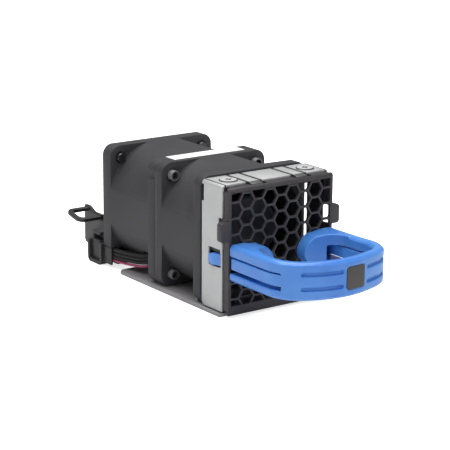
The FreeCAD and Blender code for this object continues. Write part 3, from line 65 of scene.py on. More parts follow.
WEIGHT = "bevel_weight_edge"
TINY = 0.002 * MM
FLAT_ANGLE = 0.4
Point = tuple[float, float, float]
Outline = Sequence[tuple[float, float]]
Room = tuple[Vector, Vector]
Value = Union["Signal", Socket, float, Sequence[float]]
Colour = Union[Socket, Point]
HERE: Point = (0.0, 0.0, 0.0)
UPENDED: Point = (math.pi / 2, 0.0, 0.0)


class Body(Enum):
    """Moving bodies of the module that a piece can ride on."""

    MODULE = "module"
    FRONT_ROTOR = "front_rotor"
    REAR_ROTOR = "rear_rotor"
    LATCH_LEFT = "latch_left"
    LATCH_RIGHT = "latch_right"


class Spin(Enum):
    """Way along Y to which a rotor's closed nose points."""

    FORWARD = -1
    BACKWARD = 1


class Side(Enum):
    """Left or right half of the module, as the sign of X."""

    LEFT = -1
    RIGHT = 1


def spot(x: float, y: float, z: float) -> Vector:
    """Turn a place in millimetres, with Y behind the bezel's front, into metres."""
    return Vector((x * MM, y * MM + BEZEL_FRONT_Y, z * MM))


def given(thing: Any, **settings: Any) -> Any:
    """Set properties of a node, modifier, lamp or camera, and return it."""
    for key, value in settings.items():
        setattr(thing, key, value)
    return thing


# ----------------------------------------------------------- nodes and maths


class NodeBoard:
    """Node tree whose nodes are all added through one method."""

    def __init__(self, tree: bpy.types.NodeTree) -> None:
        """Start from an emptied tree."""
        self.tree = tree
        self.tree.nodes.clear()

    def node(self, kind: str, values: Optional[dict[Any, Value]] = None,
             **settings: Any) -> bpy.types.Node:
        """Add a node.

        Args:
            kind: Blender's name of the node type.
            values: Numbers, colours or links for its input sockets, by name or index.
            **settings: Properties of the node, set before its sockets.

        Returns:
            The new node.
        """
        node = given(self.tree.nodes.new(kind), **settings)
        for key, value in (values or {}).items():
            self.feed(node.inputs[key], value)
        return node

    def feed(self, socket: Socket, value: Value) -> None:
        """Link a socket to a signal or another socket, or set its number or colour.

        Args:
            socket: Input socket.
            value: What it gets.
        """
        if isinstance(value, Signal):
            value = value.socket
        if isinstance(value, Socket):
            self.tree.links.new(value, socket)
        else:
            socket.default_value = value

    def signal(self, kind: str, values: Optional[dict[Any, Value]] = None, output: Any = 0,
               **settings: Any) -> "Signal":
        """Add a node and take one of its outputs as a number.

        Args:
            kind: Blender's name of the node type.
            values: Numbers or links for its input sockets.
            output: Name or index of the output.
            **settings: Properties of the node.

        Returns:
            The output as a signal.
        """
        return Signal(self, self.node(kind, values, **settings).outputs[output])


def maths(operation: str, summary: str, reflected: bool = False) -> Callable[..., "Signal"]:
    """Make a method of Signal that adds one Math node.

    Args:
        operation: Name of the Math node's operation.
        summary: Docstring of the method.
        reflected: Whether the signal is the operation's second number.

    Returns:
        The method.
    """
    def method(self: "Signal", other: Value = 0.0) -> "Signal":
        """Result of the node, from the signal and a number or another signal."""
        first, second = (other, self) if reflected else (self, other)
        return self.board.signal("ShaderNodeMath", {0: first, 1: second}, operation=operation)

    method.__doc__ = summary
    return method


class Signal:
    """Number that runs through a node tree and takes plain arithmetic."""

    def __init__(self, board: NodeBoard, socket: Socket) -> None:
        """Keep the tree and the output socket that carries the number."""
        self.board = board
        self.socket = socket

    __add__ = maths("ADD", "Sum with a number or signal.")
    __radd__ = maths("ADD", "Sum with a number on the left.", True)
    __sub__ = maths("SUBTRACT", "Difference from a number or signal.")
    __rsub__ = maths("SUBTRACT", "Difference with a number on the left.", True)
    __mul__ = maths("MULTIPLY", "Product with a number or signal.")
    __rmul__ = maths("MULTIPLY", "Product with a number on the left.", True)
    __truediv__ = maths("DIVIDE", "Quotient by a number or signal.")
    __rtruediv__ = maths("DIVIDE", "Quotient with a number on the left.", True)
    __mod__ = maths("FLOORED_MODULO", "Rest of a division, never negative.")
    __lt__ = maths("LESS_THAN", "1 where the number is the smaller one, and 0 elsewhere.")
    floor = maths("FLOOR", "Whole part of the number.")
    least = maths("MINIMUM", "Smaller of the number and another.")
    most = maths("MAXIMUM", "Larger of the number and another.")

    def around(self, gain: float, middle: float = 0.5) -> "Signal":
        """Distance from a middle value, times a gain."""
        return (self - middle) * gain

    def side(self) -> "Signal":
        """Turn 0 and 1 into -1 and 1."""
        return self * 2.0 - 1.0

    def clipped(self) -> "Signal":
        """Hold the number between 0 and 1."""
        return self.most(0.0).least(1.0)


# ---------------------------------------------------------------- materials


class FinishTree(NodeBoard):
    """Node tree of one material."""

    def __init__(self, name: str) -> None:
        """Start a material with a shader and an output."""
        self.material = bpy.data.materials.new(name)
        self.material.use_nodes = True
        super().__init__(self.material.node_tree)
        self.shader = self.node("ShaderNodeBsdfPrincipled")
        self.output = self.node("ShaderNodeOutputMaterial", {"Surface": self.shader.outputs[0]})
        self.place = self.node("ShaderNodeTexCoord").outputs["Object"]

    def _stretched(self, stretch: Point) -> Socket:
        """Object coordinates that run faster along some axes."""
        mapping = self.node("ShaderNodeMapping", {"Vector": self.place, "Scale": stretch})
        return mapping.outputs[0]

    def noise(self, scale: float, detail: float = 2.0, stretch: Point = (1.0, 1.0, 1.0)) -> Signal:
        """Smooth random pattern on the object's own coordinates.

        Args:
            scale: Size of the pattern's grain, in cells per metre.
            detail: Number of finer layers.
            stretch: How much faster the pattern runs along each axis.

        Returns:
            A number near 0.5 that varies over the surface.
        """
        return self.signal("ShaderNodeTexNoise", {
            "Vector": self._stretched(stretch), "Scale": scale, "Detail": detail})

    def speckle(self, scale: float, stretch: Point = (1.0, 1.0, 1.0)) -> Signal:
        """Small cells with random depth, as on spangled zinc or textured moulding."""
        return self.signal("ShaderNodeTexVoronoi", {
            "Vector": self._stretched(stretch), "Scale": scale}, "Distance", feature="F1")

    def curve(self, contrast: float) -> Signal:
        """How far the surface bends outwards, as on a rubbed edge, or inwards, as in a groove.

        Args:
            contrast: How fast the number rises away from the flat; below 0 for grooves.

        Returns:
            About 0 on flats and up to 1 on edges, or in grooves.
        """
        bend = self.signal("ShaderNodeNewGeometry", output="Pointiness")
        return bend.around(contrast).clipped()

    def blend(self, factor: Value, low: Colour, high: Colour) -> Socket:
        """Colour between two colours.

        Args:
            factor: Share of the second colour.
            low: Colour, or another blend, where the factor is 0.
            high: Colour, or another blend, where the factor is 1.

        Returns:
            The mixed colour's socket.
        """
        ends = [end if isinstance(end, Socket) else (*end, 1.0) for end in (low, high)]
        return self.node("ShaderNodeMix", {0: factor, 6: ends[0], 7: ends[1]},
                         data_type="RGBA").outputs[2]

    def bump(self, height: Signal, strength: float, distance: float) -> None:
        """Raise the surface by a pattern; strength is 0 to 1, distance is in metres."""
        node = self.node("ShaderNodeBump", {
            "Height": height, "Strength": strength, "Distance": distance})
        self.feed(self.shader.inputs["Normal"], node.outputs[0])

    def surface(self, **values: Value) -> Material:
        """Set the shader's sockets, named with underscores for spaces; return the material."""
        for key, value in values.items():
            name = key.replace("_", " ").title().replace("Ior", "IOR")
            self.feed(self.shader.inputs[name], value)
        return self.material


@dataclass(frozen=True)
class MouldedPlastic:
    """Matt moulded plastic with a fine spark-eroded grain and dust-light patches.

    The colours are linear; grain is in cells per metre, relief in metres.
    """

    dark: Point
    light: Point
    roughness: float = 0.5
    grain: float = 2600.0
    relief: float = 0.00004
    specular: float = 0.3

    def build(self, name: str) -> Material:
        """Make the material.

        Args:
            name: Name of the material.

        Returns:
            The material.
        """
        finish = FinishTree(name)
        cloud = finish.noise(55.0, 3.0)
        grain = finish.noise(self.grain, 2.0)
        share = (cloud.around(2.0, 0.35) + grain.around(0.8)).clipped()
        finish.bump(grain * 0.7 + finish.speckle(self.grain * 0.6) * 0.3, 0.35, self.relief)
        return finish.surface(
            base_color=finish.blend(share, self.dark, self.light),
            roughness=(self.roughness + cloud.around(0.18) + grain.around(0.1)).clipped(),
            specular_ior_level=self.specular)


@dataclass(frozen=True)
class FlexPlastic:
    """Smooth flexible plastic with a soft shine, slightly clouded and a little translucent."""

    deep: Point
    bright: Point
    roughness: float = 0.34
    coat: float = 0.12
    depth: float = 0.0
    # Deeper blue painted into the grooves as shade, and how strongly.
    groove: Point = (0.018, 0.105, 0.560)
    groove_shade_share: float = 0.0

    def build(self, name: str) -> Material:
        """Make the material.

        Args:
            name: Name of the material.

        Returns:
            The material.
        """
        finish = FinishTree(name)
        cloud = finish.noise(90.0, 2.0)
        skin = finish.noise(1500.0, 3.0)
        finish.bump(skin, 0.12, 0.00003)
        flat = finish.blend(cloud.around(2.2, 0.3).clipped(), self.deep, self.bright)
        # Painted shade: grooves, found by the surface's inward bend, take the deeper groove colour.
        colour = finish.blend(finish.curve(-9.0) * self.groove_shade_share, flat, self.groove)
        return finish.surface(
            base_color=colour, roughness=self.roughness + skin.around(0.14),
            coat_weight=self.coat, coat_roughness=0.2, subsurface_weight=self.depth,
            subsurface_radius=(0.35, 0.7, 1.0), subsurface_scale=1.5 * MM)


@dataclass(frozen=True)
class PlatedSheet:
    """Zinc-plated sheet steel with rolling lines, faint spangle and dull patches."""

    dark: Point
    light: Point
    roughness: float = 0.46
    metallic: float = 0.35
    rolling: Point = (1.0, 22.0, 1.0)

    def build(self, name: str) -> Material:
        """Make the material.

        Args:
            name: Name of the material.

        Returns:
            The material.
        """
        finish = FinishTree(name)
        lines = finish.noise(420.0, 3.0, self.rolling)
        spangle = finish.speckle(700.0)
        cloud = finish.noise(120.0, 3.0)
        finish.bump(lines * 0.6 + spangle * 0.4, 0.25, 0.00002)
        share = (cloud.around(1.6, 0.35) + lines.around(0.5) + spangle.around(0.2, 0.4)).clipped()
        return finish.surface(
            base_color=finish.blend(share, self.dark, self.light),
            metallic=self.metallic,
            roughness=(self.roughness + lines.around(0.2) + cloud.around(0.15)).clipped())


@dataclass(frozen=True)
class TurnedMetal:
    """Machined or drawn metal with fine rings or draw lines."""

    colour: Point
    shade: Point
    roughness: float = 0.3
    rings: float = 3000.0
    metallic: float = 1.0

    def build(self, name: str) -> Material:
        """Make the material.

        Args:
            name: Name of the material.

        Returns:
            The material.
        """
        finish = FinishTree(name)
        rings = finish.noise(self.rings, 2.0, (0.2, 1.0, 0.2))
        finish.bump(rings, 0.2, 0.00001)
        return finish.surface(
            base_color=finish.blend(rings.around(2.0, 0.3).clipped(), self.shade, self.colour),
            metallic=self.metallic, roughness=self.roughness + rings.around(0.2))


@dataclass(frozen=True)
class PrintFilm:
    """Blank paper-backed film with a faint fibre."""

    colour: Point
    shade: Point
    roughness: float = 0.55

    def build(self, name: str) -> Material:
        """Make the material.

        Args:
            name: Name of the material.

        Returns:
            The material.
        """
        finish = FinishTree(name)
        fibre = finish.noise(1800.0, 4.0, (1.0, 3.0, 1.0))
        finish.bump(fibre, 0.15, 0.00001)
        return finish.surface(
            base_color=finish.blend(fibre.around(1.8, 0.3).clipped(), self.shade, self.colour),
            roughness=self.roughness + fibre.around(0.1))


FINISHES: dict[str, Any] = {
    "fan_plastic": MouldedPlastic((0.034, 0.034, 0.037), (0.049, 0.049, 0.053), 0.55),
    "rotor_plastic": MouldedPlastic((0.011, 0.012, 0.018), (0.021, 0.023, 0.032), 0.4),
    "bezel_plastic": MouldedPlastic((0.040, 0.036, 0.040), (0.056, 0.051, 0.056), 0.45),
    "connector_plastic": MouldedPlastic((0.014, 0.014, 0.014), (0.024, 0.024, 0.024), 0.42,
                                        specular=0.45),
    "rivet_plastic": MouldedPlastic((0.010, 0.010, 0.011), (0.020, 0.020, 0.021), 0.25,
                                    specular=0.6),
    "badge_plastic": MouldedPlastic((0.058, 0.055, 0.052), (0.075, 0.072, 0.069), 0.5),
    "board_laminate": MouldedPlastic((0.010, 0.060, 0.022), (0.016, 0.085, 0.032), 0.35),
    "magnet_ferrite": MouldedPlastic((0.020, 0.019, 0.018), (0.040, 0.038, 0.036), 0.6),
    # The handle gets painted shade in its grooves.
    "handle_plastic": FlexPlastic((0.050, 0.205, 0.620), (0.082, 0.266, 0.665), depth=0.4,
                                  groove_shade_share=0.9),
    "lead_insulation": FlexPlastic((0.340, 0.028, 0.110), (0.440, 0.050, 0.150), 0.35),
    "lead_black": FlexPlastic((0.004, 0.004, 0.005), (0.008, 0.008, 0.009), 0.7, 0.0),
    "shell_steel": PlatedSheet((0.46, 0.465, 0.465), (0.525, 0.53, 0.53)),
    # Darker copy of the shell steel: painted shade on the shell's hooked finger tips and on the
    # screws below their top faces.
    "painted_shade_steel": PlatedSheet((0.085, 0.085, 0.088), (0.125, 0.125, 0.128), 0.5, 0.5),
    "tray_steel": PlatedSheet((0.26, 0.252, 0.26), (0.33, 0.322, 0.33), 0.5, 0.3),
    "screw_steel": TurnedMetal((0.72, 0.72, 0.73), (0.60, 0.60, 0.61), 0.4, metallic=0.4),
    "pin_steel": TurnedMetal((0.19, 0.19, 0.195), (0.12, 0.12, 0.125), 0.5, metallic=0.4),
    "shaft_steel": TurnedMetal((0.60, 0.60, 0.61), (0.50, 0.50, 0.51), 0.22),
    "bearing_steel": TurnedMetal((0.58, 0.58, 0.59), (0.48, 0.48, 0.50), 0.25),
    "spring_steel": TurnedMetal((0.45, 0.45, 0.46), (0.35, 0.35, 0.36), 0.3),
    "core_steel": TurnedMetal((0.30, 0.30, 0.31), (0.20, 0.20, 0.21), 0.45, 6000.0),
    "copper_wire": TurnedMetal((0.72, 0.33, 0.16), (0.55, 0.22, 0.10), 0.3, 5000.0),
    "contact_metal": TurnedMetal((0.83, 0.62, 0.25), (0.70, 0.50, 0.20), 0.25),
    "label_film": PrintFilm((0.93, 0.93, 0.92), (0.86, 0.86, 0.85)),
}


class FinishRack:
    """All finishes of the module, made once and handed out by slot name."""

    def __init__(self) -> None:
        """Make every material."""
        self.materials = {slot: finish.build(slot) for slot, finish in FINISHES.items()}
        parts = frame["record"]["subparts"]
        self.slots = {part["node"]: part["material_slot"] for part in parts}

    def of(self, node: str) -> Material:
        """Material of a CAD node."""
        return self.materials[self.slots[node]]

    def settle(self, piece: Piece, body: Body, like: str, *nodes: str) -> Piece:
        """Fix a piece to its body and let it stand for its CAD nodes.

        Args:
            piece: The finished piece.
            body: Body that carries it.
            like: CAD node whose material slot it has.
            *nodes: CAD nodes that it replaces.

        Returns:
            The same piece.
        """
        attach(piece, body.value)
        if nodes:
            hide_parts(*nodes)
        log.info("%s on %s: %d faces, for %s", piece.name, body.value,
                 len(piece.data.polygons), ", ".join(nodes) or "no node of its own")
        return piece

    def cover(self, *nodes: str) -> None:
        """Give CAD nodes their finish in place."""
        for node in nodes:
            data = frame["nodes"][node].data
            data.materials.clear()
            data.materials.append(self.of(node))


# ------------------------------------------------------------------- meshes


def linked(name: str, data: Any) -> Piece:
    """New object in the scene, from a mesh, lamp or camera."""
    thing = bpy.data.objects.new(name, data)
    bpy.context.scene.collection.objects.link(thing)
    return thing


def show(name: str, data: Mesh, material: Material) -> Piece:
    """Put a finished mesh in the scene with one material.

    Args:
        name: Name of the piece.
        data: Its mesh, in place.
        material: Its finish.

    Returns:
        The new object, at the origin.
    """
    data.materials.clear()
    data.materials.append(material)
    return linked(name, data)


@contextmanager
def editing(data: Mesh) -> Iterator[BMesh]:
    """Open a mesh for editing, and write it back at the end.

    Args:
        data: The mesh.

    Yields:
        Its corners, edges and faces.
    """
    work = bmesh.new()
    work.from_mesh(data)
    yield work
    work.to_mesh(data)
    work.free()


def baked(piece: Piece) -> Mesh:
    """Mesh of an object with its modifiers applied."""
    graph = bpy.context.evaluated_depsgraph_get()
    graph.update()
    return bpy.data.meshes.new_from_object(piece.evaluated_get(graph))


def shaded(data: Mesh, sharp: float) -> Mesh:
    """Shade a mesh smooth, apart from edges above an angle in degrees."""
    data.shade_smooth()
    data.set_sharp_from_angle(angle=math.radians(sharp))
    return data


def finished(piece: Piece, sharp: float = 35.0) -> Piece:
    """Apply an object's modifiers and shade it smooth up to an angle.

    Args:
        piece: Object with live modifiers.
        sharp: Angle in degrees above which an edge stays sharp.

    Returns:
        The same object, with a plain mesh.
    """
    data = baked(piece)
    piece.modifiers.clear()
    piece.data = shaded(data, sharp)
    return piece


def box_mesh(low: Vector, high: Vector) -> Mesh:
    """Closed box, used only to cut with.

    Args:
        low: Its lowest corner.
        high: Its highest corner.

    Returns:
        The mesh.
    """
    data = bpy.data.meshes.new("cutter")
    with editing(data) as work:
        bmesh.ops.create_cube(work, size=1.0)
        for corner in work.verts:
            for axis in range(3):
                corner.co[axis] = low[axis] if corner.co[axis] < 0 else high[axis]
    return data


def whole_faces(data: Mesh) -> Mesh:
    """Join a mesh's loose triangles into whole flat faces that point outwards.

    Args:
        data: Mesh to change.

    Returns:
        The same mesh.
    """
    with editing(data) as work:
        bmesh.ops.remove_doubles(work, verts=work.verts, dist=TINY)
        bmesh.ops.dissolve_degenerate(work, edges=work.edges, dist=TINY)
        bmesh.ops.dissolve_limit(work, angle_limit=math.radians(FLAT_ANGLE), verts=work.verts,
                                 edges=work.edges)
        bmesh.ops.recalc_face_normals(work, faces=work.faces)
    for layer in list(data.attributes):
        if layer.name in ("sharp_edge", "sharp_face", "custom_normal"):
            data.attributes.remove(layer)
    return data


def closed_copy(node: str) -> Mesh:
    """Copy a CAD node's mesh as one closed skin of triangles.

    Args:
        node: Name of the CAD node.

    Returns:
        The copy.
    """
    data = frame["nodes"][node].data.copy()
    with editing(data) as work:
        bmesh.ops.remove_doubles(work, verts=work.verts, dist=TINY / 4)
    return data


def merged_copy(node: str) -> Mesh:
    """Copy of a CAD node's mesh in whole faces."""
    return whole_faces(closed_copy(node))


def cut_by(data: Mesh, *rooms: Room) -> Mesh:
    """Cut boxes out of a mesh.

    Args:
        data: Mesh to cut.
        *rooms: Lowest and highest corner of each box.

    Returns:
        The cut mesh, in whole faces.
    """
    piece = linked("being_cut", data)
    tools = []
    for low, high in rooms:
        tool = linked("cutter", box_mesh(low, high))
        given(piece.modifiers.new("cut", "BOOLEAN"), operation="DIFFERENCE", solver="EXACT",
              object=tool)
        tools.append(tool)
    result = baked(piece)
    for used in [piece, *tools]:
        bpy.data.objects.remove(used)
    return whole_faces(result)


@dataclass
class SoftEdges:
    """Rounds the sharp edges of a CAD node's copy, as a mould or a press leaves them.

    The width is in millimetres, the angles in degrees. The last three are shares of the width:
    the shortest step that is rounded, how far a rounded point may lie off the shape, and how far
    round such a point the edges stay sharp.
    """

    rack: FinishRack
    width: float = 0.2
    steps: int = 2
    sharpest: float = 28.0
    corner: float = 35.0
    tries: int = 4
    step_room: float = 2.2
    stray_gap: float = 0.75
    stray_reach: float = 2.5

    def _turns(self, edge: BMEdge, corner: BMVert, sharp: set[BMEdge]) -> bool:
        """Tell if the line of sharp edges turns a real corner at one end of an edge.

        Args:
            edge: A sharp edge.
            corner: The end to look at.
            sharp: All sharp edges.

        Returns:
            False where another sharp edge carries on almost straight.
        """
        way = corner.co - edge.other_vert(corner).co
        for after in corner.link_edges:
            if after is edge or after not in sharp:
                continue
            onward = after.other_vert(corner).co - corner.co
            if way.length and onward.length and way.angle(onward) < math.radians(self.corner):
                return False
        return True

    def weigh(self, data: Mesh) -> None:
        """Mark the edges to round, apart from those at steps too small for it.

        Args:
            data: Mesh whose edges get a weight.
        """
        limit, room = math.radians(self.sharpest), self.step_room * self.width * MM
        with editing(data) as work:
            weight = work.edges.layers.float.new(WEIGHT)
            sharp = {edge for edge in work.edges
                     if edge.is_manifold and edge.calc_face_angle(0.0) > limit}
            tight = {edge for edge in sharp if edge.calc_length() < room
                     and all(self._turns(edge, corner, sharp) for corner in edge.verts)}
            crowded = {corner for edge in tight for corner in edge.verts}
            for edge in sharp:
                if not crowded.intersection(edge.verts):
                    edge[weight] = 1.0

    def spare(self, piece: Piece) -> int:
        """Leave sharp the corners where rounding would throw a point off the shape.

        Args:
            piece: Object with marked edges and a live rounding modifier.

        Returns:
            How many points were off the shape.
        """
        near, far = self.stray_reach * self.width * MM, self.stray_gap * self.width * MM
        rounded = baked(piece)
        with editing(piece.data) as work:
            skin = BVHTree.FromBMesh(work)
            found = [skin.find_nearest(point.co) for point in rounded.vertices]
            feet = [foot for foot, _normal, _face, gap in found if gap > far]
            weight = work.edges.layers.float[WEIGHT]
            for corner in work.verts:
                if any((corner.co - foot).length < near for foot in feet):
                    for edge in corner.link_edges:
                        edge[weight] = 0.0
        return len(feet)

    def soften(self, piece: Piece) -> Piece:
        """Round the sharp edges of a piece and shade it smooth.

        Args:
            piece: Object to round.

        Returns:
            The same object.
        """
        self.weigh(piece.data)
        given(piece.modifiers.new("edges", "BEVEL"), width=self.width * MM, segments=self.steps,
              limit_method="WEIGHT", use_clamp_overlap=False, miter_outer="MITER_SHARP")
        for _try in range(self.tries):
            strays = self.spare(piece)
            if not strays:
                break
            log.info("%s: %d points pulled back", piece.name, strays)
        return finished(piece, 50.0)

    def dress(self, node: str, body: Body = Body.MODULE, *rooms: Room) -> Piece:
        """Replace a CAD node by its soft-edged copy.

        Args:
            node: Name of the CAD node.
            body: Body that carries it.
            *rooms: Boxes to cut out of the copy first.

        Returns:
            The new piece.
        """
        data = cut_by(closed_copy(node), *rooms) if rooms else merged_copy(node)
        piece = self.soften(show(node + "_soft", data, self.rack.of(node)))
        return self.rack.settle(piece, body, node, node)


def dress_plainly(rack: FinishRack, *pieces: tuple[str, float, int]) -> None:
    """Give nodes of the module's own body soft edges: node, width in millimetres and steps."""
    for node, width, steps in pieces:
        SoftEdges(rack, width, steps).dress(node)


def in_metres(shape: Any, *names: str) -> dict[str, float]:
    """Sizes of a shape under the names that its tree's inputs show, in metres."""
    return {name.replace("_", " ").title(): getattr(shape, name) * MM for name in names}


class Recipe(NodeBoard):
    """Geometry Nodes tree with named sizes that makes one mesh."""

    def __init__(self, name: str, sizes: dict[str, float]) -> None:
        """Start a tree with one number input for each size.

        Args:
            name: Name of the tree.
            sizes: Name and value of each size; a whole number makes a whole-number input.
        """
        super().__init__(bpy.data.node_groups.new(name, "GeometryNodeTree"))
        face = self.tree.interface
        face.new_socket("Geometry", in_out="INPUT", socket_type="NodeSocketGeometry")
        face.new_socket("Geometry", in_out="OUTPUT", socket_type="NodeSocketGeometry")
        face.new_socket("Finish", in_out="INPUT", socket_type="NodeSocketMaterial")
        self.sizes = sizes
        for size, value in sizes.items():
            kind = "NodeSocketInt" if isinstance(value, int) else "NodeSocketFloat"
            face.new_socket(size, in_out="INPUT", socket_type=kind)
        self.inputs = self.node("NodeGroupInput").outputs
        self.result = self.node("NodeGroupOutput").inputs[0]

    def size(self, name: str) -> Signal:
        """One of the tree's named sizes."""
        return Signal(self, self.inputs[name])

    def vector(self, x: Value = 0.0, y: Value = 0.0, z: Value = 0.0) -> Socket:
        """Vector from three numbers."""
        return self.node("ShaderNodeCombineXYZ", {0: x, 1: y, 2: z}).outputs[0]

    def index(self) -> Signal:
        """Number of each point."""
        return self.signal("GeometryNodeInputIndex")

    def points(self, count: Value, place: Socket) -> Socket:
        """Points at a place that depends on each one's number.

        Args:
            count: How many points.
            place: Their places.

        Returns:
            The points.
        """
        return self.node("GeometryNodePoints", {"Count": count, "Position": place}).outputs[0]

    def copies(self, points: Socket, shape: Socket, **more: Value) -> Socket:
        """Set a copy of a shape on each point.

        Args:
            points: Where the copies stand.
            shape: What is repeated.
            **more: Other inputs, such as Rotation.

        Returns:
            The copies.
        """
        values = {"Points": points, "Instance": shape, **more}
        return self.node("GeometryNodeInstanceOnPoints", values).outputs[0]

    def moved(self, shape: Socket, place: Value, turn: Point = HERE) -> Socket:
        """Turn a shape, then move it."""
        return self.node("GeometryNodeTransform", {
            "Geometry": shape, "Translation": place, "Rotation": turn}).outputs[0]

    def box(self, low: Sequence[Value], high: Sequence[Value]) -> Socket:
        """Closed box between two corners, each given as three numbers or signals.

        Args:
            low: Its lowest corner.
            high: Its highest corner.

        Returns:
            The box.
        """
        spans = [far - near for near, far in zip(low, high)]
        middles = [(near + far) * 0.5 for near, far in zip(low, high)]
        shape = self.node("GeometryNodeMeshCube", {"Size": self.vector(*spans)}).outputs[0]
        return self.moved(shape, self.vector(*middles))

    def _gathered(self, node: bpy.types.Node, slot: int, shapes: Sequence[Socket]) -> Socket:
        """Link several shapes to one input of a node and take its result."""
        for shape in shapes:
            self.tree.links.new(shape, node.inputs[slot])
        return node.outputs[0]

    def joined(self, *shapes: Socket) -> Socket:
        """Several shapes as one."""
        return self._gathered(self.node("GeometryNodeJoinGeometry"), 0, shapes)

    def less(self, shape: Socket, *tools: Socket) -> Socket:
        """Cut shapes out of another.

        Args:
            shape: Closed shape that is cut.
            *tools: Closed shapes that are taken away.

        Returns:
            The cut shape.
        """
        cut = self.node("GeometryNodeMeshBoolean", {0: shape}, operation="DIFFERENCE",
                        solver="EXACT")
        return self._gathered(cut, 1, tools)

    def fused(self, *shapes: Socket) -> Socket:
        """Several closed shapes as one closed shape."""
        union = self.node("GeometryNodeMeshBoolean", operation="UNION", solver="EXACT")
        return self._gathered(union, 1, shapes)

    def close(self, shape: Socket) -> None:
        """End the tree: make copies real, set the finish and hand the mesh out.

        Args:
            shape: The whole shape.
        """
        real = self.node("GeometryNodeRealizeInstances", {0: shape}).outputs[0]
        dressed = self.node("GeometryNodeSetMaterial", {
            "Geometry": real, "Material": self.inputs["Finish"]})
        self.tree.links.new(dressed.outputs[0], self.result)

    def make(self, name: str, seed: Mesh, material: Material) -> Piece:
        """Run the tree on a mesh and keep the plain result.

        Args:
            name: Name of the piece.
            seed: Mesh that goes into the tree.
            material: Finish of the piece.

        Returns:
            The new piece, as a plain mesh.
        """
        piece = linked(name + "_seed", seed)
        modifier = given(piece.modifiers.new("recipe", "NODES"), node_group=self.tree)
        for item in self.tree.interface.items_tree:
            if item.in_out == "INPUT" and item.name != "Geometry":
                value = material if item.name == "Finish" else self.sizes[item.name]
                modifier[item.identifier] = value
        data = baked(piece)
        bpy.data.objects.remove(piece)
        return show(name, data, material)


def ringed(name: str, rings: Sequence[Sequence[Point]], sharp: float) -> Mesh:
    """Closed mesh through rings of corners, shaded smooth up to an angle.

    Args:
        name: Name of the mesh.
        rings: Corners of each ring in metres; a ring may be a single point.
        sharp: Angle in degrees above which an edge stays sharp.

    Returns:
        The mesh.
    """
    data = bpy.data.meshes.new(name)
    with editing(data) as work:
        rows = [[work.verts.new(place) for place in ring] for ring in rings]
        for near, far in zip(rows, rows[1:]):
            for n in range(max(len(near), len(far))):
                corners = [near[n % len(near)], near[(n + 1) % len(near)],
                           far[(n + 1) % len(far)], far[n % len(far)]]
                work.faces.new(list(dict.fromkeys(corners)))
        for end in (rows[0][::-1], rows[-1]):
            if len(end) > 1:
                work.faces.new(end)
        bmesh.ops.remove_doubles(work, verts=work.verts, dist=TINY / 2)
        bmesh.ops.recalc_face_normals(work, faces=work.faces)
    return shaded(data, sharp)


def lathe(name: str, outline: Outline, steps: int = 32) -> Mesh:
    """Closed turned shape about the Y axis.

    Args:
        name: Name of the mesh.
        outline: Radius and Y of each corner in millimetres, from axis to axis.
        steps: Number of flats round the axis.

    Returns:
        The mesh.
    """
    rings = []
    for radius, y in outline:
        turns = [2 * math.pi * n / steps for n in range(steps if radius else 1)]
        rings.append([(radius * MM * math.sin(turn), y * MM, radius * MM * math.cos(turn))
                      for turn in turns])
    return ringed(name, rings, 40.0)


def add_to_bezel(rack: FinishRack, recipe: Recipe, name: str, width: float) -> Piece:
    """Make a piece of the bezel from a recipe alone.

    Args:
        rack: Finishes of the module.
        recipe: Finished tree that needs no mesh to start from.
        name: Name of the piece.
        width: Width of its rounded edges in millimetres.

    Returns:
        The new piece.
    """
    piece = recipe.make(name, bpy.data.meshes.new(name + "_start"), rack.of("bezel"))
    piece.data = whole_faces(piece.data)
    SoftEdges(rack, width, steps=1).soften(piece)
    return rack.settle(piece, Body.MODULE, "bezel")


# --------------------------------------------------------------- the module


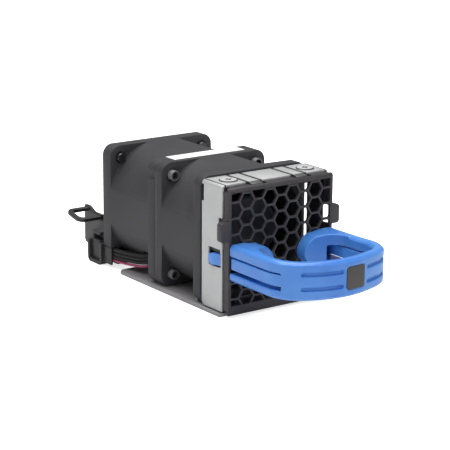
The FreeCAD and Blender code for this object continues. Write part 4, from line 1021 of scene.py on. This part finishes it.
@dataclass
class Rotor:
    """Impeller of one fan: hub cup with smooth twisted blades.

    Lengths are millimetres and angles degrees; hub_start and hub_end are places behind the
    bezel's front, and nose_round holds insets from the hub's radius and from its end.
    """

    rack: FinishRack
    node: str
    body: Body
    spin: Spin
    hub_start: float
    hub_end: float
    blades: int
    depth: float
    hub_radius: float = 11.0
    hub_wall: float = 0.9
    hub_cap: float = 1.4
    boss_radius: float = 3.0
    boss_reach: float = 7.0
    tip_radius: float = 18.55
    root_angle: float = 34.0
    tip_angle: float = 56.0
    root_thickness: float = 1.1
    tip_thickness: float = 0.7
    camber: float = 0.09
    edge_taper: float = 0.55
    blade_setback: float = 0.3
    nose_round: Outline = ((1.2, 0.0), (0.5, 0.15), (0.12, 0.55), (0.0, 1.2))
    hub_steps: int = 96
    chord_steps: int = 16
    span_steps: int = 10

    def hub(self) -> Mesh:
        """Turned cup with rounded nose, open towards the motor.

        Returns:
            Its mesh, about the rotor's axis.
        """
        way, end = self.spin.value, self.hub_end
        cap = end - way * self.hub_cap
        foot = cap - way * self.boss_reach
        inner = self.hub_radius - self.hub_wall
        nose = [(self.hub_radius - inset, end - way * back) for inset, back in self.nose_round]
        outline = [(0, end), *nose, (self.hub_radius, self.hub_start), (inner, self.hub_start),
                   (inner, cap), (self.boss_radius, cap), (self.boss_radius, foot), (0, foot)]
        return lathe(self.node + "_hub", outline, self.hub_steps)

    def blade(self) -> Mesh:
        """Smooth cambered blade, twisted from its root to its tip.

        Returns:
            Its mesh, about the rotor's axis.
        """
        root, tip = self.hub_radius - self.hub_wall / 2, self.tip_radius
        shares = [row / self.span_steps for row in range(self.span_steps + 1)]
        sections = [self.section(root + (tip - root) * share, share) for share in shares]
        return ringed(self.node + "_blade", sections, 50.0)

    def section(self, radius: float, share: float) -> list[Point]:
        """Corners round the blade's section, wrapped on a cylinder.

        Args:
            radius: Radius of the cylinder.
            share: How far out the section is, from 0 at the root to 1 at the tip.

        Returns:
            The corners in metres, about the rotor's axis.
        """
        middle = self.hub_end - self.spin.value * (self.blade_setback + self.depth / 2)
        lean = math.radians(self.root_angle + (self.tip_angle - self.root_angle) * share)
        thick = self.root_thickness + (self.tip_thickness - self.root_thickness) * share
        chord = self.depth / math.cos(lean)
        corners = []
        for step in range(2 * self.chord_steps):
            there = step <= self.chord_steps
            place = (step / self.chord_steps if there else 2 - step / self.chord_steps) - 0.5
            half = (thick / 2 * math.sqrt(max(0.0, 1 - (2 * place) ** 6))
                    * (1 - self.edge_taper * abs(2 * place)))
            bow = self.camber * chord * (1 - 4 * place * place) + (half if there else -half)
            turn = (chord * place * math.sin(lean) + bow * math.cos(lean)) / radius
            y = chord * place * math.cos(lean) - bow * math.sin(lean)
            y = max(-self.depth / 2, min(self.depth / 2, y))
            corners.append((radius * MM * math.sin(turn),
                            (middle + y * self.spin.value) * MM,
                            radius * MM * math.cos(turn)))
        return corners

    def build(self) -> Piece:
        """Set the blades round the hub and put the rotor on its body.

        Returns:
            The rotor.
        """
        blade_holder = bpy.data.objects.new(self.node + "_one_blade", self.blade())
        recipe = Recipe(self.node + "_recipe", {"Blades": self.blades, "Axis Height": AXIS_Z * MM,
                                                "Front": BEZEL_FRONT_Y})
        blade = recipe.node("GeometryNodeObjectInfo", {
            "Object": blade_holder, "As Instance": True}, transform_space="ORIGINAL")
        points = recipe.points(recipe.size("Blades"), recipe.vector())
        turn = recipe.vector(y=recipe.index() * (2 * math.pi) / recipe.size("Blades"))
        ring = recipe.copies(points, blade.outputs["Geometry"], Rotation=turn)
        place = recipe.vector(0.0, recipe.size("Front"), recipe.size("Axis Height"))
        recipe.close(recipe.moved(recipe.joined(ring, recipe.inputs["Geometry"]), place))
        piece = recipe.make(self.node + "_bladed", self.hub(), self.rack.of(self.node))
        bpy.data.objects.remove(blade_holder)
        return self.rack.settle(piece, self.body, self.node, self.node)


@dataclass
class FourInCorners:
    """Fasteners that stand in the four corner holes of the fans' flanges."""

    rack: FinishRack
    spacing: float = 32.0

    def set_in(self, node: str, name: str, outline: Outline, low_left_shift: float = 0.0) -> Piece:
        """Turn one fastener and repeat it at the corners.

        Args:
            node: CAD node that the fasteners replace.
            name: Name of the piece.
            outline: Radius and place behind the bezel's front of each corner.
            low_left_shift: How much further back the low left one stands.

        Returns:
            The new piece.
        """
        recipe = Recipe(name + "_recipe", {"Spacing": self.spacing * MM, "Axis Height": AXIS_Z * MM,
                                           "Front": BEZEL_FRONT_Y, "Shift": low_left_shift * MM})
        index, spacing = recipe.index(), recipe.size("Spacing")
        place = recipe.vector(((index % 2.0) - 0.5) * spacing,
                              recipe.size("Front") + (index < 0.5) * recipe.size("Shift"),
                              ((index / 2.0).floor() - 0.5) * spacing + recipe.size("Axis Height"))
        recipe.close(recipe.copies(recipe.points(4, place), recipe.inputs["Geometry"]))
        piece = recipe.make(name, lathe(name, outline), self.rack.of(node))
        return self.rack.settle(piece, Body.MODULE, node, node)


@dataclass
class TwinFans:
    """Both fans: moulded frames, rotors, pins, rivets, leads and the label across their joint.

    Lengths are millimetres. The edge, tip, dome and dimple hold insets from a radius and from an
    end, apart from the dimple's radii.
    """

    rack: FinishRack
    joint_y: float = 39.4
    rear_end: float = 70.2
    hub_gap: float = 3.2
    front_hub: float = 22.6
    rear_hub: float = 28.4
    flange: float = 4.0
    end_flange: float = 4.8
    pin_radius: float = 1.65
    pin_wall: float = 0.45
    pin_proud: float = 2.0
    pin_bore: float = 2.5
    pin_edge: tuple[float, float] = (0.12, 0.15)
    rivet_head: float = 0.9
    rivet_head_radius: float = 2.1
    rivet_tip: tuple[float, float] = (0.3, 0.5)
    rivet_dome: Outline = ((0.0, 0.35), (0.12, 0.1), (0.4, 0.0))
    rivet_dimple: Outline = ((0.9, 0.0), (0.75, 0.25), (0.0, 0.25))
    cradle_wall: float = 1.2
    red_sleeve: float = 0.12
    black_shade_sleeve: float = 0.36

    def rotors(self) -> None:
        """Both impellers, turning opposite ways."""
        Rotor(self.rack, "front_impeller", Body.FRONT_ROTOR, Spin.FORWARD,
              self.joint_y - self.hub_gap, self.joint_y - self.front_hub, blades=5,
              depth=14.0).build()
        Rotor(self.rack, "rear_impeller", Body.REAR_ROTOR, Spin.BACKWARD,
              self.joint_y + self.hub_gap, self.joint_y + self.rear_hub, blades=7,
              depth=17.0).build()

    def fasteners(self) -> None:
        """Rolled joint pins with a dark bore, and push rivets with domed heads."""
        corners = FourInCorners(self.rack)
        start = self.joint_y - self.flange - self.pin_proud
        end = self.joint_y + self.flange
        radius, bore = self.pin_radius, self.pin_radius - self.pin_wall
        inset, back = self.pin_edge
        half = [(0, self.pin_bore), (bore, self.pin_bore), (bore, 0), (radius - inset, 0),
                (radius, back)]
        corners.set_in("joint_pins", "rolled_joint_pins",
                       [(r, start + y) for r, y in half] + [(r, end - y) for r, y in half[::-1]])
        tip = self.rear_end - self.end_flange - self.pin_proud / 2
        head, seat = self.rivet_head_radius, self.rear_end
        top = seat + self.rivet_head
        inset, back = self.rivet_tip
        corners.set_in("rear_rivets", "domed_rear_rivets",
                       [(0, tip), (radius - inset, tip), (radius, tip + back), (radius, seat),
                        (head, seat), *((head - r, top - y) for r, y in self.rivet_dome),
                        *((r, top - y) for r, y in self.rivet_dimple)], self.cradle_wall)

    def leads(self) -> None:
        """Smooth leads: the lowest one red, the others black."""
        for node in ("front_fan_leads", "rear_fan_leads"):
            for number, data in enumerate(self._one_by_one(merged_copy(node))):
                red = number == 0 and node == "front_fan_leads"
                finish = "lead_insulation" if red else "lead_black"
                piece = show(f"{node}_{number}", data, self.rack.materials[finish])
                # The black leads are their real colour; their thick sleeve is painted shade that
                # fills the dark recess with black.
                given(piece.modifiers.new("sleeve", "SOLIDIFY"), offset=1.0, use_rim=False,
                      thickness=(self.red_sleeve if red else self.black_shade_sleeve) * MM)
                given(piece.modifiers.new("round", "SUBSURF"), levels=1, render_levels=1)
                finished(piece, 60.0)
                self.rack.settle(piece, Body.MODULE, node, *([node] if number == 0 else []))

    @staticmethod
    def _one_by_one(data: Mesh) -> list[Mesh]:
        """Split a mesh into its separate solids.

        Args:
            data: Mesh of several solids.

        Returns:
            One mesh for each, the lowest one first.
        """
        with editing(data) as work:
            left = set(work.verts)
            islands = []
            while left:
                found: list[BMVert] = []
                todo = [left.pop()]
                while todo:
                    corner = todo.pop()
                    found.append(corner)
                    near = {edge.other_vert(corner) for edge in corner.link_edges} & left
                    left -= near
                    todo += near
                islands.append((min(corner.co.z for corner in found),
                                {corner.index for corner in found}))
        alone = []
        for _height, keep in sorted(islands, key=lambda island: island[0]):
            alone.append(data.copy())
            with editing(alone[-1]) as work:
                rest = [corner for corner in work.verts if corner.index not in keep]
                bmesh.ops.delete(work, geom=rest, context="VERTS")
        return alone

    def motors(self) -> None:
        """Finishes for the sealed motor pieces, which keep their CAD shapes."""
        for fan in ("front", "rear"):
            self.rack.cover(*(f"{fan}_{part}" for part in (
                "circuit_board", "stator_core", "windings", "bearings", "preload_spring",
                "bearing_spacer", "rotor_yoke", "rotor_magnet", "shaft", "shaft_clip")))

    def build(self) -> None:
        """Build every piece of the fans."""
        dress_plainly(self.rack, ("front_fan_frame", 0.28, 3), ("rear_fan_frame", 0.28, 3))
        self.rotors()
        self.fasteners()
        self.leads()
        dress_plainly(self.rack, ("tray_pins", 0.15, 2), ("joint_label", 0.03, 1))
        self.motors()


@dataclass
class Honeycomb:
    """Six-sided grille that fills the bezel's window, with screw bosses and tongue openings.

    Lengths are millimetres; the front rib is narrower than the back one, for the mould's draft.
    """

    rack: FinishRack
    pitch: float = 4.95
    middle_z: float = 23.15
    columns: int = 9
    rows: int = 11
    front_rib: float = 0.6
    back_rib: float = 0.72
    thickness: float = 1.1
    plate_depth: float = 1.8
    setback: float = 0.05
    lap: float = 0.3
    half_width: float = 18.6
    low_z: float = 3.7
    high_z: float = 38.4
    boss_radius: float = 2.7
    boss_x: float = 10.2
    bore_radius: float = 1.15
    tongue_x: float = 14.0
    tongue_low_z: float = 15.25
    tongue_high_z: float = 19.35
    edge: float = 0.07
    overcut: float = 0.5
    bar_steps: int = 32

    def build(self) -> Piece:
        """Cut the cells out of a plate and put the grille in the bezel.

        Returns:
            The grille.
        """
        recipe = Recipe("honeycomb_recipe", {
            "Columns": self.columns, "Rows": self.rows, "Front": BEZEL_FRONT_Y, **in_metres(
                self, "pitch", "front_rib", "back_rib", "thickness", "setback", "lap",
                "half_width", "low_z", "high_z", "middle_z", "boss_radius", "boss_x",
                "bore_radius", "tongue_x", "tongue_low_z", "tongue_high_z")})
        size, over = recipe.size, self.overcut * MM
        front, back = size("Front") + size("Setback"), size("Front") + size("Thickness")
        side, tongue = size("Half Width") + size("Lap"), size("Tongue X")
        plate = recipe.box((-1.0 * side, front, size("Low Z") - size("Lap")),
                           (side, back, size("High Z") + size("Lap")))
        cells = self._cells(recipe, over)
        bosses, bores = (
            recipe.copies(self._pair(recipe, size("Front"), size("Boss X")),
                          self._disc(recipe, radius, start, end))
            for radius, start, end in (
                (size("Boss Radius"), front - size("Front"), size("Thickness")),
                (size("Bore Radius"), -1.0 * over, size("Thickness") + over)))
        ways = [recipe.box((low, front - over, size("Tongue Low Z")),
                           (high, back + over, size("Tongue High Z")))
                for low, high in ((tongue, side + over), (-1.0 * (side + over), -1.0 * tongue))]
        recipe.close(recipe.less(recipe.fused(recipe.less(plate, cells), bosses), bores, *ways))
        return add_to_bezel(self.rack, recipe, "bezel_honeycomb", width=self.edge)

    def _cells(self, recipe: Recipe, over: float) -> Socket:
        """Six-sided tapered cutters on their grid.

        Args:
            recipe: Tree with the grille's sizes.
            over: How far they reach past the plate, in metres.

        Returns:
            The cutters.
        """
        size, index = recipe.size, recipe.index()
        column = index % size("Columns")
        row = (index / size("Columns")).floor()
        across = column - (size("Columns") - 1.0) * 0.5
        up = row - (size("Rows") - 1.0) * 0.5 + (column % 2.0) * 0.5
        place = recipe.vector(across * size("Pitch") * (math.sqrt(3) / 2), size("Front") - over,
                              size("Middle Z") + up * size("Pitch"))
        reach = size("Thickness") + 2 * over
        slope = (size("Back Rib") - size("Front Rib")) / size("Thickness")
        wide = (size("Pitch") - size("Front Rib") + slope * over) / math.sqrt(3)
        narrow = (size("Pitch") - size("Back Rib") - slope * over) / math.sqrt(3)
        cutter = recipe.node("GeometryNodeMeshCone", {
            "Vertices": 6, "Radius Bottom": wide, "Radius Top": narrow, "Depth": reach}).outputs[0]
        points = recipe.points(size("Columns") * size("Rows"), place)
        return recipe.copies(points, recipe.moved(cutter, HERE, (-math.pi / 2, 0.0, 0.0)))

    @staticmethod
    def _pair(recipe: Recipe, y: Value, x: Signal) -> Socket:
        """Two points left and right of the middle, at the handle's height."""
        return recipe.points(2, recipe.vector(recipe.index().side() * x, y, HANDLE_Z * MM))

    @staticmethod
    def _disc(recipe: Recipe, radius: Signal, start: Value, end: Value) -> Socket:
        """Short round bar along Y.

        Args:
            recipe: Tree it is made in.
            radius: Its radius.
            start: Distance from its point to its front end.
            end: Distance from its point to its back end.

        Returns:
            The bar.
        """
        bar = recipe.node("GeometryNodeMeshCylinder", {
            "Vertices": Honeycomb.bar_steps, "Radius": radius, "Depth": end - start}).outputs[0]
        return recipe.moved(bar, recipe.vector(y=(end + start) * 0.5), UPENDED)


@dataclass
class FrontEnd:
    """Honeycomb bezel, steel shell with its screws, and the tray under the fans.

    Lengths are millimetres; Y is the distance behind the bezel's front. Cuts keep the play from
    a moving or seated piece, run over past an outer face and reach a seam into the shell. The
    screws' rim holds insets from the head's radius and from its top.
    """

    rack: FinishRack
    play: float = 0.2
    over: float = 0.3
    seam: float = 0.02
    bezel_half_width: float = 19.6
    bezel_low: float = 0.8
    bezel_top: float = 39.9
    shadow_gap: float = 0.35
    shadow_low_z: float = 2.0
    shadow_high_z: float = 38.0
    shadow_margin: float = 0.6
    corner_notch: float = 1.3
    catch_width: float = 1.5
    catch_depth: float = 0.9
    catch_front: float = 0.8
    ear_low_z: float = 23.8
    ear_high_z: float = 29.8
    ear_x: float = 17.5
    ear_depth: float = 2.25
    ear_window: float = 1.7
    ear_rim: tuple[float, float] = (17.9, 0.9)
    shell_front: float = 3.0
    shell_back: float = 13.4
    shell_top: float = 40.5
    half_width: float = 20.0
    sheet: float = 0.7
    edge: float = 0.1
    trim: float = 0.95
    trim_low_z: float = 2.0
    trim_high_z: float = 38.1
    tip_shade_reach: float = 0.15
    tip_shade_height: float = 2.0
    finger_middle: float = 8.4
    finger_width: float = 4.0
    slot_width: float = 0.8
    # Widths of the strips of painted shade: at the finger slots here, and at the bends below.
    slot_shade_width: float = 1.3
    bend_x: float = 18.8
    bend_shade_width: float = 0.55
    strip_play: float = 0.06
    latch_front: float = 3.8
    latch_back: float = 9.9
    latch_low_z: float = 15.0
    latch_high_z: float = 20.6
    screw_x: float = 14.5
    screw_y: float = 7.6
    screw_radius: float = 2.9
    screw_head: float = 0.35
    screw_shank: float = 1.2
    screw_length: float = 3.8
    screw_rim: Outline = ((0.35, 0.0), (0.15, 0.06), (0.0, 0.27))
    screw_face: float = 0.03
    cross_length: float = 2.3
    cross_width: float = 0.6
    cross_floor: float = 0.15

    def ear_opening(self) -> Room:
        """Opening in the right side, just behind the bezel's ear.

        Returns:
            Its two corners.
        """
        return (spot(self.ear_x, self.ear_depth, self.ear_low_z),
                spot(self.half_width + 2 * self.over, self.shell_front + self.ear_window,
                     self.ear_high_z - self.play))

    @staticmethod
    def side_room(side: Side, near: float, far: float, low: tuple[float, float],
                  high: tuple[float, float]) -> Room:
        """Box on one side of the module.

        Args:
            side: Side of the box.
            near: One distance from the middle.
            far: The other distance from the middle.
            low: Lowest Y and Z.
            high: Highest Y and Z.

        Returns:
            Its two corners.
        """
        near, far = sorted((side.value * near, side.value * far))
        return spot(near, *low), spot(far, *high)

    def rim_cuts(self, comb: Honeycomb) -> list[Room]:
        """Window for the honeycomb, shadow gaps, corner notches and catches for the fingers.

        Args:
            comb: The honeycomb that the window holds.

        Returns:
            Two corners of each box to cut away.
        """
        side, back, top, play, over = (self.bezel_half_width, self.shell_front, self.bezel_top,
                                       self.play, self.over)
        gap, notch, end = self.shadow_gap, self.corner_notch, back + self.seam
        cuts = [(spot(-comb.half_width, -comb.overcut, comb.low_z),
                 spot(comb.half_width, comb.plate_depth + 2 * self.seam, comb.high_z)),
                (spot(*self.ear_rim, self.ear_low_z),
                 spot(side + play / 4, back + 2 * play, self.ear_high_z - play)),
                self.ear_opening()]
        spans = ((self.shadow_low_z, self.latch_low_z - self.shadow_margin),
                 (self.latch_high_z + play, self.shadow_high_z))
        for way in Side:
            for low_z, high_z in spans:
                cuts.append(self.side_room(way, side - gap, side + over, (back - gap, low_z),
                                           (end, high_z)))
            for low_z in (self.bezel_low - over, top - notch):
                cuts.append(self.side_room(way, side - notch, side + over,
                                           (back - notch - play, low_z),
                                           (end, low_z + notch + over)))
            start = way.value * self.finger_middle + self.finger_width / 2 + play
            cuts.append((spot(start, self.catch_front, top - self.catch_depth),
                         spot(start + self.catch_width, end, top + over)))
        return cuts

    def bezel(self) -> None:
        """Rim and skirt from the CAD shape, and the honeycomb in its window."""
        comb = Honeycomb(self.rack)
        comb.build()
        SoftEdges(self.rack, width=0.12, steps=2).dress("bezel", Body.MODULE,
                                                        *self.rim_cuts(comb))
        self.lay_shade_strips()

    def shade_strip_places(self) -> list[tuple[float, float]]:
        """Dark lines in the shell's top, at the finger slots and the bends.

        Returns:
            Middle X and width of each.
        """
        step = (self.finger_width + self.slot_width) / 2
        slots = [(way.value * self.finger_middle + shift, self.slot_shade_width)
                 for way in Side for shift in (-step, step)]
        return slots + [(way.value * self.bend_x, self.bend_shade_width) for way in Side]

    def lay_shade_strips(self) -> None:
        """Dark strips of the bezel that show in the slots and bend lines of the shell's top."""
        front, back, play = self.shell_front, self.shell_back, self.strip_play
        recipe = Recipe("painted_shade_strip_recipe", {
            "Half Step": (self.finger_width + self.slot_width) / 2 * MM,
            "Middle": BEZEL_FRONT_Y + (front + back) / 2 * MM,
            "Length": (back - front - self.play) * MM, "Width": (self.slot_shade_width - play) * MM,
            "Bend Width": (self.bend_shade_width - play) * MM, "Top": (self.shell_top - play / 2) * MM,
            **in_metres(self, "finger_middle", "bend_x", "sheet")})
        size, index = recipe.size, recipe.index()
        level = size("Top") - size("Sheet") * 0.5
        sides, edges = (index / 2.0).floor().side(), (index % 2.0).side()
        slots = recipe.vector(sides * size("Finger Middle") + edges * size("Half Step"),
                              size("Middle"), level)
        bends = recipe.vector(index.side() * size("Bend X"), size("Middle"), level)
        rows = []
        for count, place, width in ((4, slots, size("Width")), (2, bends, size("Bend Width"))):
            strip = recipe.node("GeometryNodeMeshCube", {
                "Size": recipe.vector(width, size("Length"), size("Sheet"))}).outputs[0]
            rows.append(recipe.copies(recipe.points(count, place), strip))
        recipe.close(recipe.joined(*rows))
        add_to_bezel(self.rack, recipe, "bezel_slot_strips", width=0.04)

    def shell(self) -> None:
        """Pressed shell with its bend lines, latch windows, and hooked finger tips in shade."""
        top, half, sheet = self.shell_top, self.half_width, self.sheet
        cuts = [(spot(half - sheet - self.edge, self.shell_back - self.trim, self.trim_low_z),
                 spot(half + self.over, self.shell_back + self.over, self.trim_high_z)),
                self.ear_opening()]
        for way in Side:
            cuts.append(self.side_room(way, half - sheet - self.play, half + self.over,
                                       (self.latch_front, self.latch_low_z),
                                       (self.latch_back, self.latch_high_z)))
        # Open the shell's top where the strips of painted shade go.
        for middle, wide in self.shade_strip_places():
            cuts.append((spot(middle - wide / 2, self.shell_front - self.edge,
                              top - sheet - self.edge),
                         spot(middle + wide / 2, self.shell_back + self.edge, top + self.edge)))
        piece = SoftEdges(self.rack, width=0.08, steps=2).dress("shell", Body.MODULE, *cuts)
        # Painted shade: faces at the front top of the shell, the hooked finger tips, take the dark
        # steel.
        start = spot(0.0, self.shell_front - self.tip_shade_reach, top - self.tip_shade_height)
        self.shade(piece, lambda middle: middle.y < start.y and middle.z > start.z)

    def shade(self, piece: Piece, inside: Callable[[Vector], bool]) -> None:
        """Give the dark steel to some faces of a piece.

        Args:
            piece: Object to change.
            inside: Tells from the middle of a face if it is dark.
        """
        piece.data.materials.append(self.rack.materials["painted_shade_steel"])
        for face in piece.data.polygons:
            if inside(face.center):
                face.material_index = 1

    def screws(self) -> None:
        """Flat-headed screws with a small cross recess, repeated left and right."""
        radius, head, shank = self.screw_radius, self.screw_head, self.screw_shank
        rim = [(radius - inset, head - back) for inset, back in self.screw_rim]
        outline = [(0, head), *rim, (radius, 0), (shank, 0), (shank, -self.screw_length),
                   (0, -self.screw_length)]
        recipe = Recipe("shell_screw_recipe", {
            "Setback": BEZEL_FRONT_Y + self.screw_y * MM,
            "Cross Floor": head * self.cross_floor * MM,
            **in_metres(self, "screw_x", "shell_top", "cross_length", "cross_width")})
        size = recipe.size
        upright = recipe.moved(recipe.inputs["Geometry"], HERE, UPENDED)
        long, wide = size("Cross Length") * 0.5, size("Cross Width") * 0.5
        bars = [recipe.box((-1.0 * a, -1.0 * b, size("Cross Floor")), (a, b, MM))
                for a, b in ((long, wide), (wide, long))]
        screw = recipe.less(upright, *bars)
        place = recipe.vector(recipe.index().side() * size("Screw X"), size("Setback"),
                              size("Shell Top"))
        recipe.close(recipe.copies(recipe.points(2, place), screw))
        piece = recipe.make("cross_head_screws", lathe("screw", outline),
                            self.rack.of("shell_screws"))
        piece.data.set_sharp_from_angle(angle=math.radians(35))
        # Painted shade: faces lower than the head's top face take the dark steel.
        face_z = (self.shell_top + head - self.screw_face) * MM
        self.shade(piece, lambda middle: middle.z < face_z)
        self.rack.settle(piece, Body.MODULE, "shell_screws", "shell_screws")

    def build(self) -> None:
        """Dress the bezel, shell, screws, tray and rivets."""
        self.bezel()
        self.shell()
        self.screws()
        dress_plainly(self.rack, ("tray_plate", 0.12, 2), ("tray_rivets", 0.1, 2),
                      ("handle_screws", 0.1, 2))


@dataclass
class LoopHandle:
    """Flexible loop handle, its two latch tongues and the bare badge."""

    rack: FinishRack
    grain: float = 0.26
    smoothing: int = 4
    root_y: float = -24.0
    root_height: float = 4.0
    root_play: float = 0.03
    root_lap: float = 1.1
    root_lean: float = 30.5
    reach: float = 32.1
    lean: float = 0.5
    corner_x: float = 6.1
    corner_y: float = -17.24
    bulge_turn: float = 35.7
    bulge_spread: float = 32.0
    right_bulge: float = 1.5
    left_bulge: float = 0.3
    foot_reach: float = 13.0
    foot_inner: float = 5.8
    foot_outer: float = 15.6
    foot_taper: float = 0.24
    foot_dome: float = 0.3
    hook_round: float = 7.2
    hook_end: float = 9.1
    hook_taper: float = 0.35

    def _fill_roots(self, data: Mesh) -> None:
        """Bring the loop up to its tongues, so that each grows out of it without a gap.

        Args:
            data: The loop's mesh.
        """
        lean = math.radians(self.root_lean)
        for corner in data.vertices:
            y = (corner.co.y - BEZEL_FRONT_Y) / MM
            z = corner.co.z / MM - HANDLE_Z
            if abs(y - self.root_y) < self.root_play and abs(z) < self.root_height:
                side = 1 if corner.co.x > 0 else -1
                corner.co.x += side * math.sin(lean) * self.root_lap * MM
                corner.co.y += math.cos(lean) * self.root_lap * MM

    def _flexed(self, place: Vector) -> Vector:
        """Where a corner stands once the feet are domed, the hooks rounded and the loop flexed.

        Args:
            place: Place in millimetres, with Y behind the bezel's front.

        Returns:
            The new place.
        """
        x, y, z = place.x, place.y, place.z - HANDLE_Z
        if -self.foot_reach < y < 0.0 and abs(x) < self.foot_outer:
            share = min(1.0, (self.foot_outer - abs(x)) / (self.foot_outer - self.foot_inner))
            share = share * share * (3.0 - 2.0 * share)
            z *= 1.0 - self.foot_taper * share
            y *= 1.0 - self.foot_dome * share
        if y > self.hook_round:
            share = (y - self.hook_round) / (self.hook_end - self.hook_round)
            z *= 1.0 - self.hook_taper * share * share
        bulge = self.right_bulge if place.x > 0 else self.left_bulge
        turn = math.degrees(math.atan2(self.corner_y - place.y, abs(place.x) - self.corner_x))
        push = bulge * math.exp(-((turn - self.bulge_turn) / self.bulge_spread) ** 2)
        way = math.copysign(1.0, place.x)
        x += way * push * math.cos(math.radians(self.bulge_turn))
        y -= push * math.sin(math.radians(self.bulge_turn))
        if y < 0.0:
            x += self.lean * (place.y / self.reach) ** 2
        return Vector((x, y, z + HANDLE_Z))

    def moulded(self, node: str, body: Body) -> Piece:
        """Round every edge of a node's copy as a flexible moulding has them.

        Args:
            node: Name of the CAD node.
            body: Body that carries it.

        Returns:
            The new piece.
        """
        piece = show(node + "_moulded", merged_copy(node), self.rack.of(node))
        if body is Body.MODULE:
            self._fill_roots(piece.data)
        given(piece.modifiers.new("skin", "REMESH"), mode="VOXEL", voxel_size=self.grain * MM)
        finished(piece)
        for corner in piece.data.vertices:
            corner.co = spot(*self._flexed((corner.co - spot(0.0, 0.0, 0.0)) / MM))
        given(piece.modifiers.new("smooth", "SMOOTH"), factor=0.5, iterations=self.smoothing)
        finished(piece, 80.0)
        return self.rack.settle(piece, body, node, node)

    def badge(self) -> None:
        """Bare badge, leaning with the loop's front."""
        piece = SoftEdges(self.rack, width=0.08, steps=2).dress("handle_badge")
        for corner in piece.data.vertices:
            corner.co.x += self.lean * MM

    def build(self) -> None:
        """Build the loop, the tongues and the badge."""
        self.moulded("handle_loop", Body.MODULE)
        self.moulded("latch_tongue_left", Body.LATCH_LEFT)
        self.moulded("latch_tongue_right", Body.LATCH_RIGHT)
        self.badge()


@dataclass
class Studio:
    """Pale floor, white surround, soft lamps and the camera.

    Sizes are metres and angles degrees. Each lamp has a name, a place, a side and a power in
    watts.
    """

    camera_at: Point = (-0.30087, -0.42008, 0.15624)
    yaw: float = 35.67
    pitch: float = 14.81
    roll: float = 0.41
    lens: float = 135.11
    floor_size: float = 6.0
    floor_drop: float = 0.1 * MM
    floor_glow: float = 0.75
    surround_level: float = 0.33
    lamp_aim: Point = (0.0, 0.0, 0.02)
    lamps: tuple[tuple[str, Point, float, float], ...] = (
        ("overhead_softbox", (-0.05, 0.05, 0.9), 0.9, 12.0),
        ("left_softbox", (-0.9, -0.25, 0.45), 0.7, 0.95),
        ("front_softbox", (0.25, -1.0, 0.4), 0.7, 2.1))

    def white_where_seen(self) -> Material:
        """Floor finish: nearly white to the camera, with the module's soft shadow.

        Returns:
            The material.
        """
        finish = FinishTree("floor_white")
        ray = finish.node("ShaderNodeLightPath").outputs
        seen = Signal(finish, ray["Is Camera Ray"]) + Signal(finish, ray["Is Transmission Ray"])
        grain = finish.noise(300.0)
        finish.surface(base_color=(0.8, 0.8, 0.8, 1.0), roughness=(0.9 + grain * 0.05).clipped(),
                       specular_ior_level=0.0)
        glow = finish.node("ShaderNodeEmission", {
            "Color": (1.0, 1.0, 1.0, 1.0), "Strength": seen.clipped() * self.floor_glow})
        both = finish.node("ShaderNodeAddShader", {
            0: finish.shader.outputs[0], 1: glow.outputs[0]})
        finish.feed(finish.output.inputs["Surface"], both.outputs[0])
        return finish.material

    def floor(self) -> None:
        """Large square floor just under the tray."""
        data, half = bpy.data.meshes.new("floor"), self.floor_size / 2
        with editing(data) as work:
            for x, y in ((-half, -half), (half, -half), (half, half), (-half, half)):
                work.verts.new((x, y, -self.floor_drop))
            work.faces.new(work.verts)
        show("floor", data, self.white_where_seen())

    def surround(self) -> None:
        """World that is white to the eye and softer as a light."""
        world = bpy.data.worlds.new("surround")
        bpy.context.scene.world = world
        world.use_nodes = True
        board = NodeBoard(world.node_tree)
        ray = board.node("ShaderNodeLightPath").outputs
        seen = Signal(board, ray["Is Camera Ray"]).most(Signal(board, ray["Is Transmission Ray"]))
        light = board.node("ShaderNodeBackground", {
            "Color": (1.0, 1.0, 1.0, 1.0),
            "Strength": seen * (1.0 - self.surround_level) + self.surround_level})
        board.node("ShaderNodeOutputWorld", {"Surface": light.outputs[0]})

    def light(self) -> None:
        """Square soft lamps, all pointing at the module."""
        for name, at, size, power in self.lamps:
            data = given(bpy.data.lights.new(name, "AREA"), size=size, energy=power)
            turn = (Vector(self.lamp_aim) - Vector(at)).to_track_quat("-Z", "Y").to_euler()
            given(linked(name, data), location=at, rotation_euler=turn)

    def camera(self) -> None:
        """Camera in front of the module's left corner, a little above it."""
        turn, rise, roll = (math.radians(v) for v in (-self.yaw, self.pitch, self.roll))
        back = Vector((math.sin(turn) * math.cos(rise), -math.cos(turn) * math.cos(rise),
                       math.sin(rise)))
        right = Vector((math.cos(turn), math.sin(turn), 0.0))
        up = back.cross(right)
        axes = Matrix((math.cos(roll) * right + math.sin(roll) * up,
                       math.cos(roll) * up - math.sin(roll) * right, back)).transposed()
        data = given(bpy.data.cameras.new("camera"), lens=self.lens, sensor_width=36.0,
                     clip_start=0.01)
        bpy.context.scene.camera = given(
            linked("camera", data),
            matrix_world=Matrix.Translation(self.camera_at) @ axes.to_4x4())

    def build(self) -> None:
        """Set up floor, surround, lamps and camera."""
        self.floor()
        self.surround()
        self.light()
        self.camera()
        bpy.context.scene.view_settings.view_transform = "Standard"


def main() -> None:
    """Build the module's looks piece by piece and write the two boxes."""
    logging.basicConfig(level=logging.INFO, format="%(name)s: %(message)s")
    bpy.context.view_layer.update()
    rack = FinishRack()
    FrontEnd(rack).build()
    TwinFans(rack).build()
    LoopHandle(rack).build()
    dress_plainly(rack, ("connector_bracket", 0.22, 3), ("connector_housing", 0.15, 2),
                  ("connector_contacts", 0.06, 1))
    Studio().build()


if __name__ == "__main__":
    main()
